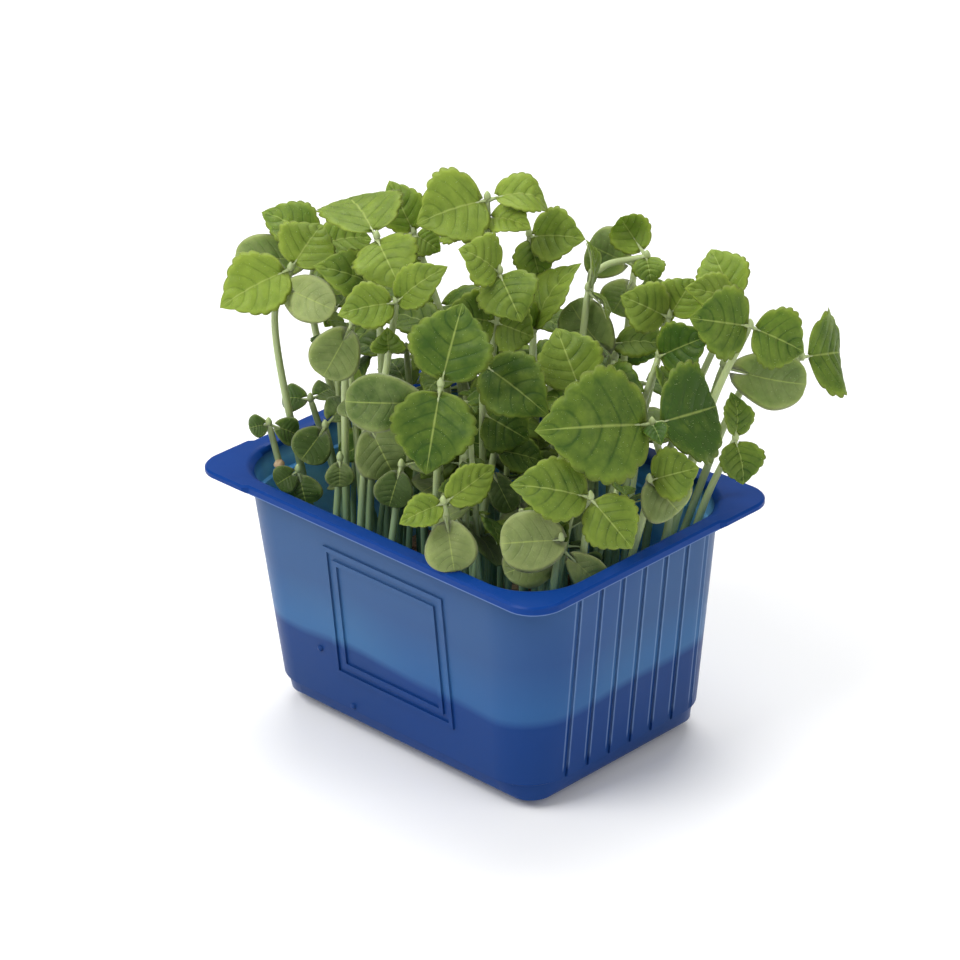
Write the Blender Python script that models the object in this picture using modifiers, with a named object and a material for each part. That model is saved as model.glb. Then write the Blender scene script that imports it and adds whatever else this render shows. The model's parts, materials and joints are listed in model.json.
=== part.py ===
"""Microgreens tray: leafy seedlings rooted in a growing mat, in a blue moulded plastic tray.

Metres, +Z up. The origin is under the middle of the tray's foot and the long sides lie along X.
The named sizes are millimetres, and MM turns them into metres.
"""
import math
import random
from collections import namedtuple

import bmesh
import bpy
from mathutils import Matrix, Vector
from mathutils.bvhtree import BVHTree

MM = 0.001

# Tray
RIM_LENGTH = 96.0
RIM_WIDTH = 66.6
RIM_HEIGHT = 52.7
RIM_RADIUS = 7.0
FLANGE_THICKNESS = 0.9
LIP_DEPTH = 1.8
LIP_THICKNESS = 0.9
OPENING_INSET = 2.6
EAR_RADIUS = 6.0
EAR_BULGE = 0.9
EAR_REACH = 15.0
EAR_BEAD = 0.3
EAR_SLANT = 1.45
EAR_SPARE = 1.5
WALL_TOP = (89.2, 59.8, 13.5)
WALL_FOOT = (77.4, 54.2, 10.0)
WALL_FOOT_HEIGHT = 6.4
WALL_THICKNESS = 0.8
LEDGE_HEIGHT = 46.4
LEDGE_DEPTH = 0.45
BAND_TOP = (75.8, 52.6, 9.0)
BAND_TOP_HEIGHT = 5.9
BAND_BOTTOM = (73.0, 49.0, 5.0)
BAND_EDGE_HEIGHT = 3.4
FOOT_OUTLINE = (68.0, 34.0, 4.0)
FOOT_HEIGHT = 2.1
FOOT_CHAMFER = 0.3
FLOOR_THICKNESS = 1.1
RECESS_MARGIN = 1.5
BAND_CHAMFER = 0.5
EDGE_CHAMFER = 0.4
OPENING_RADIUS = 13.7
OPENING_ROUND = 1.4
SLOPE = 0.05
CORNER_STEPS = 4

# Flutes in the short sides and the double-line frames on the long sides
GROOVES = 7
GROOVE_PITCH = 6.07
GROOVE_WIDTH = 1.2
GROOVE_DEPTH = 0.5
GROOVE_SHIFT = 1.0
GROOVE_LOW = 5.2
GROOVE_HIGH = 50.4
FRAME_LENGTH = 34.0
FRAME_LOW = 14.0
FRAME_HIGH = 44.0
FRAME_SHIFT = 1.5
FRAME_LINE = 1.1
FRAME_GAP = 1.4
FRAME_RELIEF = 0.45
FRAME_SINK = 0.3

# Growing mat
MAT_TOP = 21.0
MAT_GAP = 0.35
MAT_ROUND = 0.9
MAT_FOOT_INSET = 1.6
HUSKS = 12
HUSK_RADIUS = 1.1
HUSK_SHAPE = (1.3, 1.0, 0.7)
HUSK_RISE = 0.2
HUSK_SPACING = 4.0
HUSK_AREA = (30.0, 20.0)
HOLE_RADIUS = 1.35
HOLE_DEPTH = 8.0
HOLE_SIDES = 6
FOOT_GAP = 0.6

# Seedlings
STEM_RADIUS = 0.85
STEM_PIECES = 5
STEM_STRAIGHT = 1.0
STEM_BEND = (0.25, 0.45)
BLADE_THICKNESS = 0.65
BLADE_CLEARANCE = 0.3
STALK_HALF_WIDTH = 0.5
TIP_HALF_WIDTH = 0.4
TOOTH_DEPTH = 0.09
SMOOTH_ANGLE = math.radians(40)
LEAF = "leaf"
SEED = "seed leaf"
STALK_SHARE = {LEAF: 0.13, SEED: 0.32}
FOLD = {LEAF: 0.18, SEED: 0.1}
SEED_ROWS = 4
RANDOM_SEED = 7

# Seedlings by rule over the back half of the mat
BACK_SEEDLINGS = 6
BACK_ROWS = 3
BACK_COLUMNS = 6
BACK_START = (-27.0, 8.0)
BACK_PITCH = (9.5, 7.0)
BACK_SPACING = 5.5
BACK_CORNER = (26.0, 20.0)
BACK_HEIGHT = (66.0, 80.0)
BACK_FALL = 0.25
BACK_LEAN = (4.0, 9.0)
BACK_LEAN_FROM = (4.0, -14.0)
BACK_LEAF_LENGTH = (13.0, 16.0)
BACK_LEAF_WIDTH = 0.72
BACK_LEAF_LIFT = 75
BACK_LEAF_RISE = 2.0
BACK_PAIRS = (1.0, 0.8)
BACK_PAIR_LOSS = 2.0

# The seedlings' points are measured as seen over the front corner: right, up and near, where near
# is the level distance from the tray's middle toward the eye.
VIEW_TURN = math.radians(46.2)
VIEW_TILT = math.radians(26.8)
VIEW_ROLL = math.radians(-2.1)
VIEW_DISTANCE = 850.0
VIEW_TARGET = Vector((-8.0, 7.3, 47.1))

# A seedling has its root on the mat (x, y), bends of its stem and its top as seen points, and leaves.
# A leaf has its place along the stem (1 is the top), its tip as a seen point, its width, the angle
# over the level that its face looks to, and how far that look is turned from the eye.
Seedling = namedtuple("Seedling", "root bends top leaves")
Leaf = namedtuple("Leaf", "at tip width lift turn kind stalk arch", defaults=(0, LEAF, None, 0.12))

SEEDLINGS = {
    "outer_left": Seedling((-35, -12), [(-41.5, 28.5, -18)], (-38.5, 43, -18), [
        Leaf(1, (-53, 35, -12), 14, 40),
        Leaf(1, (-32, 52, -27), 13, 35),
        Leaf(0.94, (-29.5, 34.5, -6), 9.5, 25, kind=SEED)]),
    "back_left": Seedling((-34, 4), [(-33.5, 30.5, -28)], (-33, 48, -30), [
        Leaf(1, (-44.5, 54.5, -33), 12, 60),
        Leaf(1, (-22, 49, -34), 11, 50),
        Leaf(0.95, (-51.5, 47, -27), 11, 30, kind=SEED),
        Leaf(0.9, (-26.5, 38, -14), 9, 30)]),
    "middle_left": Seedling((-22, -6), [], (-21, 49.5, -12), [
        Leaf(1, (-27.5, 57, -30), 18, 75),
        Leaf(1, (-16, 38.5, -1), 14, 30),
        Leaf(0.86, (-34, 43.5, -8), 11, 45)]),
    "small_pair": Seedling((-17, -17), [], (-17, 36.5, 5), [
        Leaf(1, (-6.5, 43.5, 8), 9, 40),
        Leaf(1, (-29, 33.5, 8), 10, 40),
        Leaf(0.84, (-19, 32.5, 10), 9, 20)]),
    "round_left": Seedling((-24, -16), [(-27.5, 18.5, -4)], (-26, 32, -4), [
        Leaf(1, (-32, 21, 2), 10.5, 15, kind=SEED)]),
    "crown_left": Seedling((-12, 16), [], (-13.5, 50.5, -38), [
        Leaf(1, (-18.5, 61, -42), 10, 25),
        Leaf(1, (-8, 46.5, -36), 7, 30),
        Leaf(0.92, (-21, 44.5, -34), 10, 40)]),
    "crown": Seedling((-4, 6), [], (1.5, 57.5, -15), [
        Leaf(1, (-13, 52, -9), 17, 40),
        Leaf(1, (14, 54.5, -18), 10, 60, arch=0.3),
        Leaf(0.95, (12.5, 53, -8), 11, 60),
        Leaf(0.93, (-8, 49.5, -22), 11, 60)]),
    "crown_right": Seedling((3, 13), [], (10, 50, -20), [
        Leaf(1, (21.5, 49, -16), 12, 40),
        Leaf(1, (13, 41, -14), 9, 20)]),
    "upper_middle": Seedling((2, -3), [], (4, 42.5, 0), [
        Leaf(1, (-4.5, 47, 2), 12, 50),
        Leaf(1, (8.5, 32, 8), 13, 25),
        Leaf(0.86, (11, 29, 2), 11, 30),
        Leaf(0.86, (-8, 33.5, 6), 12, 30)]),
    "centre": Seedling((2, -16), [], (-8, 19.5, 22), [
        Leaf(1, (-3.5, 36, 14), 17, 30),
        Leaf(1, (-11, 1, 30), 17, 30),
        Leaf(0.93, (-27.5, 16, 24), 11.5, 20, stalk=0.4, kind=SEED)]),
    "centre_right": Seedling((8, -8), [], (0.5, 24, 12), [
        Leaf(1, (14, 13, 20), 14, 35),
        Leaf(0.82, (10, 8, 14), 12, 30)]),
    "heart": Seedling((16, -3), [], (20.5, 18.5, 12), [
        Leaf(1, (15.5, 31, 6), 14, 25)]),
    "side_on": Seedling((6, 5), [], (11, 30.5, -10), [
        Leaf(1, (20, 45, -14), 11, 20, turn=-60),
        Leaf(1, (5, 37, -6), 10, 40)]),
    "edge_on": Seedling((14, 8), [], (22, 39, -6), [
        Leaf(1, (21.5, 49, -8), 10, 5, turn=80),
        Leaf(1, (26, 32.5, -2), 9, 10, turn=80)]),
    "underside": Seedling((20, 15), [], (27.5, 25, -6), [
        Leaf(1, (18, 35, -6), 11, -10, kind=SEED)]),
    "curled": Seedling((11, 14), [(22, 34.5, -12), (24.5, 43, -14)], (34, 45.5, -15), [
        Leaf(1, (28.5, 53.5, -15), 9, 20, arch=-0.5),
        Leaf(1, (35, 39.5, -10), 7, 30)]),
    "back_right": Seedling((16, 20.5), [(28, 10, -8)], (31.5, 44, -22), [
        Leaf(1, (22, 48, -24), 11, 20, kind=SEED),
        Leaf(0.96, (27, 34, -17), 9, 20, kind=SEED)]),
    "middle_right": Seedling((26, 9), [], (38.5, 33.5, -3), [
        Leaf(1, (28.5, 37.5, -3), 11, 30),
        Leaf(1, (43.5, 41, -8), 10, 30),
        Leaf(0.95, (33.5, 43.5, -12), 9, 45)]),
    "crinkled": Seedling((22.5, 21), [], (52, 36.5, 1), [
        Leaf(1, (41.5, 39, 5), 9, 45),
        Leaf(1, (47, 47, -8), 11, 30)]),
    "pair_right": Seedling((32, 12), [(46, 12, 12)], (55, 31.5, 10), [
        Leaf(1, (42.5, 33, 14), 15, 25),
        Leaf(1, (66, 26, 10), 13, 30)]),
    "dark_right": Seedling((27, 1), [], (36.5, 25.5, 4), [
        Leaf(1, (47, 29.5, 8), 11, 30),
        Leaf(0.97, (38.5, 13.5, 12), 6, 20, turn=50)]),
    "big_seed_leaf": Seedling((28, 23), [], (49.5, 23.5, 3), [
        Leaf(1, (66.5, 19.5, 8), 12, 10, kind=SEED)]),
    "edge_right": Seedling((29, 17), [(53, 18, 4)], (65.5, 25, 5), [
        Leaf(1, (73, 26, -8), 18, 15, turn=70),
        Leaf(0.98, (69, 16, 8), 8, 10, turn=60)]),
    "low_right": Seedling((33, 18), [(45, -6.5, 13)], (52, 8.5, 12), [
        Leaf(1, (51, 18, 7), 8, 20, turn=40),
        Leaf(1, (53.5, -1, 16), 10, 20, turn=20)]),
    "biggest": Seedling((34, 4), [(38.5, -8, 23)], (35, 11.5, 28), [
        Leaf(1, (11, 10, 36), 23, 30),
        Leaf(1, (49.5, 15.5, 12), 23, 25),
        Leaf(1, (37, 7, 35), 5, 40)]),
    "kidney": Seedling((34, -4), [(32.5, -10, 30)], (34.5, 0, 31), [
        Leaf(1, (40.5, -6.5, 32), 11, 25, stalk=0.15, kind=SEED),
        Leaf(1, (43.5, 4.5, 27), 11, 30)]),
    "front_pair": Seedling((35, -10), [(20.5, -20.5, 36)], (22.5, -3.5, 38), [
        Leaf(1, (6, -1, 40), 13, 40),
        Leaf(1, (31, -14, 42), 12, 30)]),
    "front_seed_leaf": Seedling((34, -18), [], (16.5, -12, 39), [
        Leaf(1, (4, -13, 41), 12, 30, stalk=0.12, kind=SEED),
        Leaf(0.95, (25, -20, 34), 7, 30, kind=SEED)]),
    "front_left": Seedling((19, -22), [], (-7.5, -4.5, 34), [
        Leaf(1, (-16.5, -9, 38), 7, 40),
        Leaf(1, (3, 3, 28), 8, 20),
        Leaf(0.93, (-5, -20, 40), 11.5, 15, kind=SEED)]),
    "low_left": Seedling((-33, -20), [], (-43, 11.5, -14), [
        Leaf(1, (-47, 10.5, -12), 5, 40, kind=SEED),
        Leaf(1, (-37.5, 9.5, -17), 6, 40, kind=SEED)]),
    "rim_left": Seedling((-27, -22), [], (-37, 2, -6), [
        Leaf(1, (-41.5, -1, -4), 6, 30, kind=SEED),
        Leaf(1, (-35, -5, -2), 8, 20, kind=SEED)]),
    "far_left": Seedling((-36, -4), [], (-34.5, 16.5, -22), [
        Leaf(1, (-41, 16.5, -22), 7, 50, kind=SEED),
        Leaf(1, (-29, 19, -27), 7, 50, kind=SEED)]),
    "disc_left": Seedling((-30, -9), [], (-31.5, 11, -12), [
        Leaf(1, (-36.5, 4, -6), 8.5, 20, kind=SEED),
        Leaf(1, (-26.5, 16, -20), 7, 50, kind=SEED)]),
    "disc_middle": Seedling((-14, -22), [], (-23, 12.5, 2), [
        Leaf(1, (-17.5, 1, 6), 12, 20, kind=SEED),
        Leaf(1, (-29, 16.5, -4), 8, 50, kind=SEED)]),
    "disc_rim": Seedling((-21, -22.5), [], (-28.5, 4.5, -1), [
        Leaf(1, (-28.5, -1.5, 2), 6, 20, kind=SEED)]),
    "disc_dark": Seedling((-6, -22), [], (-16, 3, 8), [
        Leaf(1, (-18.5, -5.5, 12), 8, 30, kind=SEED),
        Leaf(1, (-8, 5, 4), 8, 50, kind=SEED)]),
    "shaded": Seedling((11, -15), [], (3, 6.5, 14), [
        Leaf(1, (13, 3.5, 12), 8, 40),
        Leaf(1, (-2, 11, 8), 8, 50),
        Leaf(0.9, (6.5, -6.5, 20), 6, 30, kind=SEED)]),
}


# Picture plane to tray
def level(angle):
    return Vector((math.sin(angle), -math.cos(angle), 0.0))


def view_axes():
    toward = level(VIEW_TURN) * math.cos(VIEW_TILT) + Vector((0, 0, math.sin(VIEW_TILT)))
    across = Vector((math.cos(VIEW_TURN), math.sin(VIEW_TURN), 0.0))
    upward = toward.cross(across)
    right = across * math.cos(VIEW_ROLL) + upward * math.sin(VIEW_ROLL)
    up = upward * math.cos(VIEW_ROLL) - across * math.sin(VIEW_ROLL)
    return toward, right, up


def seen(point):
    """Place in the tray's frame of a point given as right, up and near."""
    toward, right, up = view_axes()
    eye = VIEW_TARGET + toward * VIEW_DISTANCE
    ray = right * point[0] + up * point[1] - toward * VIEW_DISTANCE
    near_axis = level(VIEW_TURN)
    share = (point[2] - eye.dot(near_axis)) / ray.dot(near_axis)
    return eye + ray * share


# Small helpers
def make_material(name, colour, roughness):
    material = bpy.data.materials.new(name)
    material.use_nodes = True
    shader = material.node_tree.nodes["Principled BSDF"]
    shader.inputs["Base Color"].default_value = (*colour, 1.0)
    shader.inputs["Roughness"].default_value = roughness
    shader.inputs["Metallic"].default_value = 0.0
    material.diffuse_color = (*colour, 1.0)
    return material


def make_object(name, bm, collection):
    bmesh.ops.recalc_face_normals(bm, faces=bm.faces)
    mesh = bpy.data.meshes.new(name)
    bm.to_mesh(mesh)
    bm.free()
    obj = bpy.data.objects.new(name, mesh)
    collection.objects.link(obj)
    return obj


def make_collection(name):
    collection = bpy.data.collections.new(name)
    bpy.context.scene.collection.children.link(collection)
    return collection


def evaluated_mesh(obj):
    bpy.context.view_layer.update()
    graph = bpy.context.evaluated_depsgraph_get()
    return bpy.data.meshes.new_from_object(obj.evaluated_get(graph))


def apply_modifiers(obj):
    mesh = evaluated_mesh(obj)
    obj.modifiers.clear()
    obj.data = mesh


def shade(obj, material):
    """One material, smooth round the curves and sharp at the edges."""
    obj.data.materials.clear()
    obj.data.materials.append(material)
    obj.data.shade_smooth()
    obj.data.set_sharp_from_angle(angle=SMOOTH_ANGLE)


def remove_collection(collection):
    for obj in list(collection.objects):
        bpy.data.objects.remove(obj, do_unlink=True)
    bpy.data.collections.remove(collection)


def combine(obj, operation, others):
    """Join a collection of solids to one object, or cut it out, with one Boolean."""
    boolean = obj.modifiers.new("Combine", "BOOLEAN")
    boolean.operation = operation
    boolean.operand_type = "COLLECTION"
    boolean.collection = others
    apply_modifiers(obj)
    remove_collection(others)


def loft(rings):
    """Closed body through rings of points, capped at the first and the last."""
    bm = bmesh.new()
    loops = [[bm.verts.new(point * MM) for point in ring] for ring in rings]
    count = len(loops[0])
    for lower, upper in zip(loops, loops[1:]):
        for i in range(count):
            j = (i + 1) % count
            bm.faces.new((lower[i], lower[j], upper[j], upper[i]))
    bm.faces.new(loops[0])
    bm.faces.new(loops[-1])
    return bm


# Outlines of the tray
def corner_outline(size, z, radii=None, bulges=(0, 0, 0, 0), ear_z=None, reach=EAR_REACH):
    """Rounded rectangle, with two points before and two after each corner for the ears."""
    length, width, radius = size
    radii = radii or (radius,) * 4
    reach = min(reach, width / 2 - EAR_SPARE)
    points = []
    for i, (sx, sy) in enumerate(((-1, -1), (1, -1), (1, 1), (-1, 1))):
        bulge, r = bulges[i], radii[i]
        corner_z = ear_z if bulge and ear_z is not None else z
        x, y = sx * length / 2, sy * width / 2
        on_end = (Vector((x, y - sy * reach, z)), Vector((x + sx * bulge, y - sy * (reach - 1), corner_z)))
        on_side = (Vector((x - sx * reach, y, z)), Vector((x - sx * (reach - 1), y + sy * bulge, corner_z)))
        before, after = (on_end, on_side[::-1]) if sx == sy else (on_side, on_end[::-1])
        centre = Vector((x + sx * (bulge - r), y + sy * (bulge - r), corner_z))
        start = math.radians(180 + 90 * i)
        points.extend(before)
        for k in range(CORNER_STEPS + 1):
            angle = start + math.radians(90) * k / CORNER_STEPS
            points.append(centre + Vector((math.cos(angle), math.sin(angle), 0)) * r)
        points.extend(after)
    return points


def plain_outline(size, z, inset=0.0):
    length, width, radius = size
    return corner_outline((length - 2 * inset, width - 2 * inset, max(radius - inset, 1.0)), z)


def wall_size(z):
    share = (z - WALL_FOOT_HEIGHT) / (RIM_HEIGHT - FLANGE_THICKNESS - WALL_FOOT_HEIGHT)
    return tuple(a + (b - a) * share for a, b in zip(WALL_FOOT, WALL_TOP))


def wall_outline(z, inset=0.0):
    return plain_outline(wall_size(z), z, inset)


def flange_outline(inset, z, ear_z=None):
    """Flange outline: ears at two opposite corners, plain round corners at the other two."""
    radii = (EAR_RADIUS - inset, RIM_RADIUS - inset, EAR_RADIUS - inset, RIM_RADIUS - inset)
    size = (RIM_LENGTH - 2 * inset, RIM_WIDTH - 2 * inset, RIM_RADIUS)
    reach = EAR_REACH - EAR_SLANT * inset
    return corner_outline(size, z, radii, (EAR_BULGE, 0, EAR_BULGE, 0), ear_z, reach)


# Tray
def tray_rings():
    underside = RIM_HEIGHT - FLANGE_THICKNESS
    lip_z = RIM_HEIGHT - LIP_DEPTH
    ear_z = underside - EAR_BEAD
    floor_z = FOOT_HEIGHT + FLOOR_THICKNESS
    opening = (RIM_LENGTH - 2 * OPENING_INSET, RIM_WIDTH - 2 * OPENING_INSET, OPENING_RADIUS)
    thick = WALL_THICKNESS + LEDGE_DEPTH
    foot_length, foot_width, foot_radius = FOOT_OUTLINE
    recess = (foot_length - 2 * RECESS_MARGIN, foot_width - 2 * RECESS_MARGIN, foot_radius - RECESS_MARGIN)
    return [
        plain_outline(FOOT_OUTLINE, 0.0, FOOT_CHAMFER),
        plain_outline(FOOT_OUTLINE, FOOT_HEIGHT),
        plain_outline(BAND_BOTTOM, FOOT_HEIGHT + SLOPE),
        plain_outline(BAND_TOP, BAND_EDGE_HEIGHT, BAND_CHAMFER),
        plain_outline(BAND_TOP, BAND_TOP_HEIGHT),
        wall_outline(WALL_FOOT_HEIGHT),
        wall_outline(underside),
        flange_outline(LIP_THICKNESS, underside),
        flange_outline(LIP_THICKNESS, lip_z, ear_z),
        flange_outline(0.0, lip_z, ear_z),
        flange_outline(0.0, RIM_HEIGHT - EDGE_CHAMFER),
        flange_outline(EDGE_CHAMFER, RIM_HEIGHT),
        plain_outline(opening, RIM_HEIGHT),
        plain_outline(opening, RIM_HEIGHT - EDGE_CHAMFER, 1.0),
        wall_outline(RIM_HEIGHT - OPENING_ROUND, WALL_THICKNESS),
        wall_outline(LEDGE_HEIGHT, WALL_THICKNESS),
        wall_outline(LEDGE_HEIGHT - LEDGE_DEPTH, thick),
        wall_outline(WALL_FOOT_HEIGHT + 1.0, thick),
        plain_outline(BAND_TOP, BAND_TOP_HEIGHT - EDGE_CHAMFER, thick),
        plain_outline(BAND_BOTTOM, floor_z, 1.0),
        plain_outline(recess, floor_z - SLOPE),
        plain_outline(recess, FLOOR_THICKNESS, BAND_CHAMFER)]


def wall_lean(axis):
    """How far a wall moves out for each millimetre of height."""
    rise = RIM_HEIGHT - FLANGE_THICKNESS - WALL_FOOT_HEIGHT
    return (WALL_TOP[axis] - WALL_FOOT[axis]) / 2 / rise


def box_on_wall(size, place, lean_axis, lean):
    """Box whose upright axis follows the wall's lean."""
    bm = bmesh.new()
    bmesh.ops.create_cube(bm, size=1.0)
    bmesh.ops.scale(bm, vec=Vector(size) * MM, verts=bm.verts)
    for vert in bm.verts:
        vert.co[lean_axis] += vert.co.z * lean
    bmesh.ops.translate(bm, vec=Vector(place) * MM, verts=bm.verts)
    return bm


def cut_grooves(tray, cutters):
    """Upright grooves that leave flat ribs on the short sides, open to the band below."""
    middle = (GROOVE_LOW + GROOVE_HIGH) / 2
    face = wall_size(middle)[0] / 2
    size = (2 * GROOVE_DEPTH, GROOVE_WIDTH, GROOVE_HIGH - GROOVE_LOW)
    for side in (-1, 1):
        for i in range(GROOVES):
            y = side * GROOVE_SHIFT + (i - (GROOVES - 1) / 2) * GROOVE_PITCH
            bm = box_on_wall(size, (side * face, y, middle), 0, side * wall_lean(0))
            make_object(f"groove_{i}_{side}", bm, cutters)
    combine(tray, "DIFFERENCE", cutters)


def frame_corners(inset):
    half = FRAME_LENGTH / 2 - inset
    low, high = FRAME_LOW + inset, FRAME_HIGH - inset
    return [(-half, low), (half, low), (half, high), (-half, high)]


def frame_body(inset, side):
    """Rectangular outline that stands out of a long side and is sunk a little into it."""
    bm = bmesh.new()
    layers = []
    for out in (-FRAME_SINK, FRAME_RELIEF):
        for edge in (inset, inset + FRAME_LINE):
            layers.append([
                bm.verts.new(Vector((x - side * FRAME_SHIFT, side * (wall_size(z)[1] / 2 + out), z)) * MM)
                for x, z in frame_corners(edge)])
    back_out, back_in, top_out, top_in = layers
    for i in range(4):
        j = (i + 1) % 4
        bm.faces.new((top_out[i], top_out[j], top_in[j], top_in[i]))
        bm.faces.new((back_out[j], back_out[i], back_in[i], back_in[j]))
        bm.faces.new((back_out[i], back_out[j], top_out[j], top_out[i]))
        bm.faces.new((back_in[j], back_in[i], top_in[i], top_in[j]))
    return bm


def add_frames(tray, scrap):
    """Two rectangular outlines, one inside the other, raised on each long side."""
    for side in (-1, 1):
        for ring in range(2):
            make_object(f"frame_{ring}_{side}", frame_body(ring * (FRAME_LINE + FRAME_GAP), side), scrap)
    combine(tray, "UNION", scrap)


def build_tray(parts):
    tray = make_object("tray", loft(tray_rings()), parts)
    cut_grooves(tray, make_collection("groove_cutters"))
    add_frames(tray, make_collection("frame_pieces"))
    shade(tray, make_material("blue_plastic", (0.03, 0.13, 0.42), 0.35))
    return tray


# Growing mat
def husk_places(roots):
    rng = random.Random(RANDOM_SEED)
    across, along = HUSK_AREA
    places = []
    while len(places) < HUSKS:
        place = Vector((rng.uniform(-across, across), rng.uniform(-along, along)))
        if all((place - other).length > HUSK_SPACING for other in roots + places):
            places.append(place)
    return places


def add_husks(mat, scrap, roots):
    """Seed husks that lie half sunk in the mat."""
    rng = random.Random(RANDOM_SEED + 1)
    for i, place in enumerate(husk_places(roots)):
        bm = bmesh.new()
        bmesh.ops.create_icosphere(bm, subdivisions=1, radius=HUSK_RADIUS * MM)
        bmesh.ops.scale(bm, vec=HUSK_SHAPE, verts=bm.verts)
        turn = Matrix.Rotation(rng.uniform(0, math.pi), 4, "Z")
        bmesh.ops.transform(bm, matrix=turn, verts=bm.verts)
        bmesh.ops.translate(bm, vec=Vector((*place, MAT_TOP + HUSK_RISE)) * MM, verts=bm.verts)
        make_object(f"husk_{i}", bm, scrap)
    combine(mat, "UNION", scrap)


def cut_stem_holes(mat, cutters, roots):
    """Plain blind holes that the stems stand in."""
    radius = HOLE_RADIUS * MM
    for i, root in enumerate(roots):
        bm = bmesh.new()
        bmesh.ops.create_cone(bm, cap_ends=True, segments=HOLE_SIDES, depth=2 * HOLE_DEPTH * MM,
                              radius1=radius, radius2=radius)
        bmesh.ops.translate(bm, vec=Vector((*root, MAT_TOP)) * MM, verts=bm.verts)
        make_object(f"hole_{i}", bm, cutters)
    combine(mat, "DIFFERENCE", cutters)


def build_mat(parts, roots):
    thick = WALL_THICKNESS + LEDGE_DEPTH + MAT_GAP
    base_z = FOOT_HEIGHT + FLOOR_THICKNESS + MAT_GAP
    rings = [
        plain_outline(BAND_BOTTOM, base_z, MAT_FOOT_INSET),
        plain_outline(BAND_TOP, BAND_TOP_HEIGHT - EDGE_CHAMFER, thick),
        wall_outline(WALL_FOOT_HEIGHT + 1.2, thick),
        wall_outline(MAT_TOP - MAT_ROUND, thick),
        wall_outline(MAT_TOP, thick + MAT_ROUND)]
    mat = make_object("growing_mat", loft(rings), parts)
    add_husks(mat, make_collection("husks"), roots)
    cut_stem_holes(mat, make_collection("hole_cutters"), roots)
    shade(mat, make_material("brown_fibre", (0.11, 0.055, 0.025), 0.95))


# Stems
def spline(points, share):
    """Point on a smooth curve through the given points."""
    spans = len(points) - 1
    place = min(share * spans, spans - 1e-6)
    i = int(place)
    t = place - i
    p1, p2 = points[i], points[i + 1]
    p0 = points[i - 1] if i else p1 * 2 - p2
    p3 = points[i + 2] if i + 2 <= spans else p2 * 2 - p1
    return 0.5 * (2 * p1 + (p2 - p0) * t + (2 * p0 - 5 * p1 + 4 * p2 - p3) * t ** 2
                  + (3 * p1 - p0 - 3 * p2 + p3) * t ** 3)


def stem_path(root, bends, top):
    """Centre line of the stem, from the bottom of its hole to its top."""
    foot = Vector((*root, MAT_TOP - HOLE_DEPTH + FOOT_GAP))
    start = Vector((*root, MAT_TOP + STEM_STRAIGHT))
    if not bends:
        across, upward = STEM_BEND
        bend = start.lerp(top, across)
        bend.z = start.z + (top.z - start.z) * upward
        bends = [bend]
    curve = [start] + bends + [top]
    return [foot] + [spline(curve, k / STEM_PIECES) for k in range(STEM_PIECES + 1)]


def stem_object(name, path, collection):
    curve = bpy.data.curves.new(name, "CURVE")
    curve.dimensions = "3D"
    curve.bevel_depth = STEM_RADIUS * MM
    curve.bevel_resolution = 1
    curve.use_fill_caps = True
    line = curve.splines.new("POLY")
    line.points.add(len(path) - 1)
    for point, place in zip(line.points, path):
        point.co = (*(place * MM), 1.0)
    guide = bpy.data.objects.new(name, curve)
    collection.objects.link(guide)
    mesh = evaluated_mesh(guide)
    bpy.data.objects.remove(guide, do_unlink=True)
    bm = bmesh.new()
    bm.from_mesh(mesh)
    bmesh.ops.remove_doubles(bm, verts=bm.verts, dist=0.000001)
    return make_object(name, bm, collection)


# Leaves
def half_width(leaf, share):
    """Half the blade's width at a share of its length, as a part of the full half width."""
    if leaf.kind == SEED:
        return math.sqrt(max(1 - (2 * share - 1) ** 2, 0.0)) ** 0.85
    return math.sin(math.pi * share ** 0.75) ** 0.6


def blade_rows(leaf, length):
    """Rows of points across the blade: a long leaf has more teeth."""
    if leaf.kind == SEED:
        return SEED_ROWS
    return 9 if length > 18 else 7 if length > 15 else 5


def blade_grid(leaf, base, tip):
    """Rows of left edge, midrib and right edge points, from the stalk to the tip."""
    axis = (tip - base).normalized()
    length = (tip - base).length
    turn = VIEW_TURN + math.radians(leaf.turn)
    lift = math.radians(leaf.lift)
    look = level(turn) * math.cos(lift) + Vector((0, 0, math.sin(lift)))
    normal = (look - axis * look.dot(axis)).normalized()
    side = axis.cross(normal)
    stalk = STALK_SHARE[leaf.kind] if leaf.stalk is None else leaf.stalk
    rows = blade_rows(leaf, length)
    shares = [0.0, stalk] + [stalk + (1 - stalk) * (k + 0.5) / rows for k in range(rows)] + [1.0]
    grid = []
    for i, share in enumerate(shares):
        arch = leaf.arch * 4 * share * (1 - share) * length
        middle = base + axis * length * share + normal * arch
        blade = (share - stalk) / (1 - stalk)
        width = STALK_HALF_WIDTH
        if 0 < blade < 1:
            tooth = 0.0 if leaf.kind == SEED else TOOTH_DEPTH * (1 if i % 2 else -1)
            width = max(half_width(leaf, blade) * leaf.width / 2 * (1 + tooth), STALK_HALF_WIDTH)
        if share == 1.0:
            width = TIP_HALF_WIDTH
        fold = normal * width * FOLD[leaf.kind]
        grid.append((middle - side * width + fold, middle, middle + side * width + fold))
    return grid


def sheet_faces(rows):
    """Triangles of the open sheet, each quad split the same way on both halves."""
    faces = []
    for r in range(rows - 1):
        a, b = 3 * r, 3 * (r + 1)
        faces.extend(((a, a + 1, b), (a + 1, b + 1, b), (a + 1, a + 2, b + 2), (a + 1, b + 2, b + 1)))
    return faces


def sheet_normals(points, faces):
    normals = [Vector() for _ in points]
    for face in faces:
        a, b, c = (points[i] for i in face)
        across = (b - a).cross(c - a)
        for i in face:
            normals[i] += across
    return [normal.normalized() for normal in normals]


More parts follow.
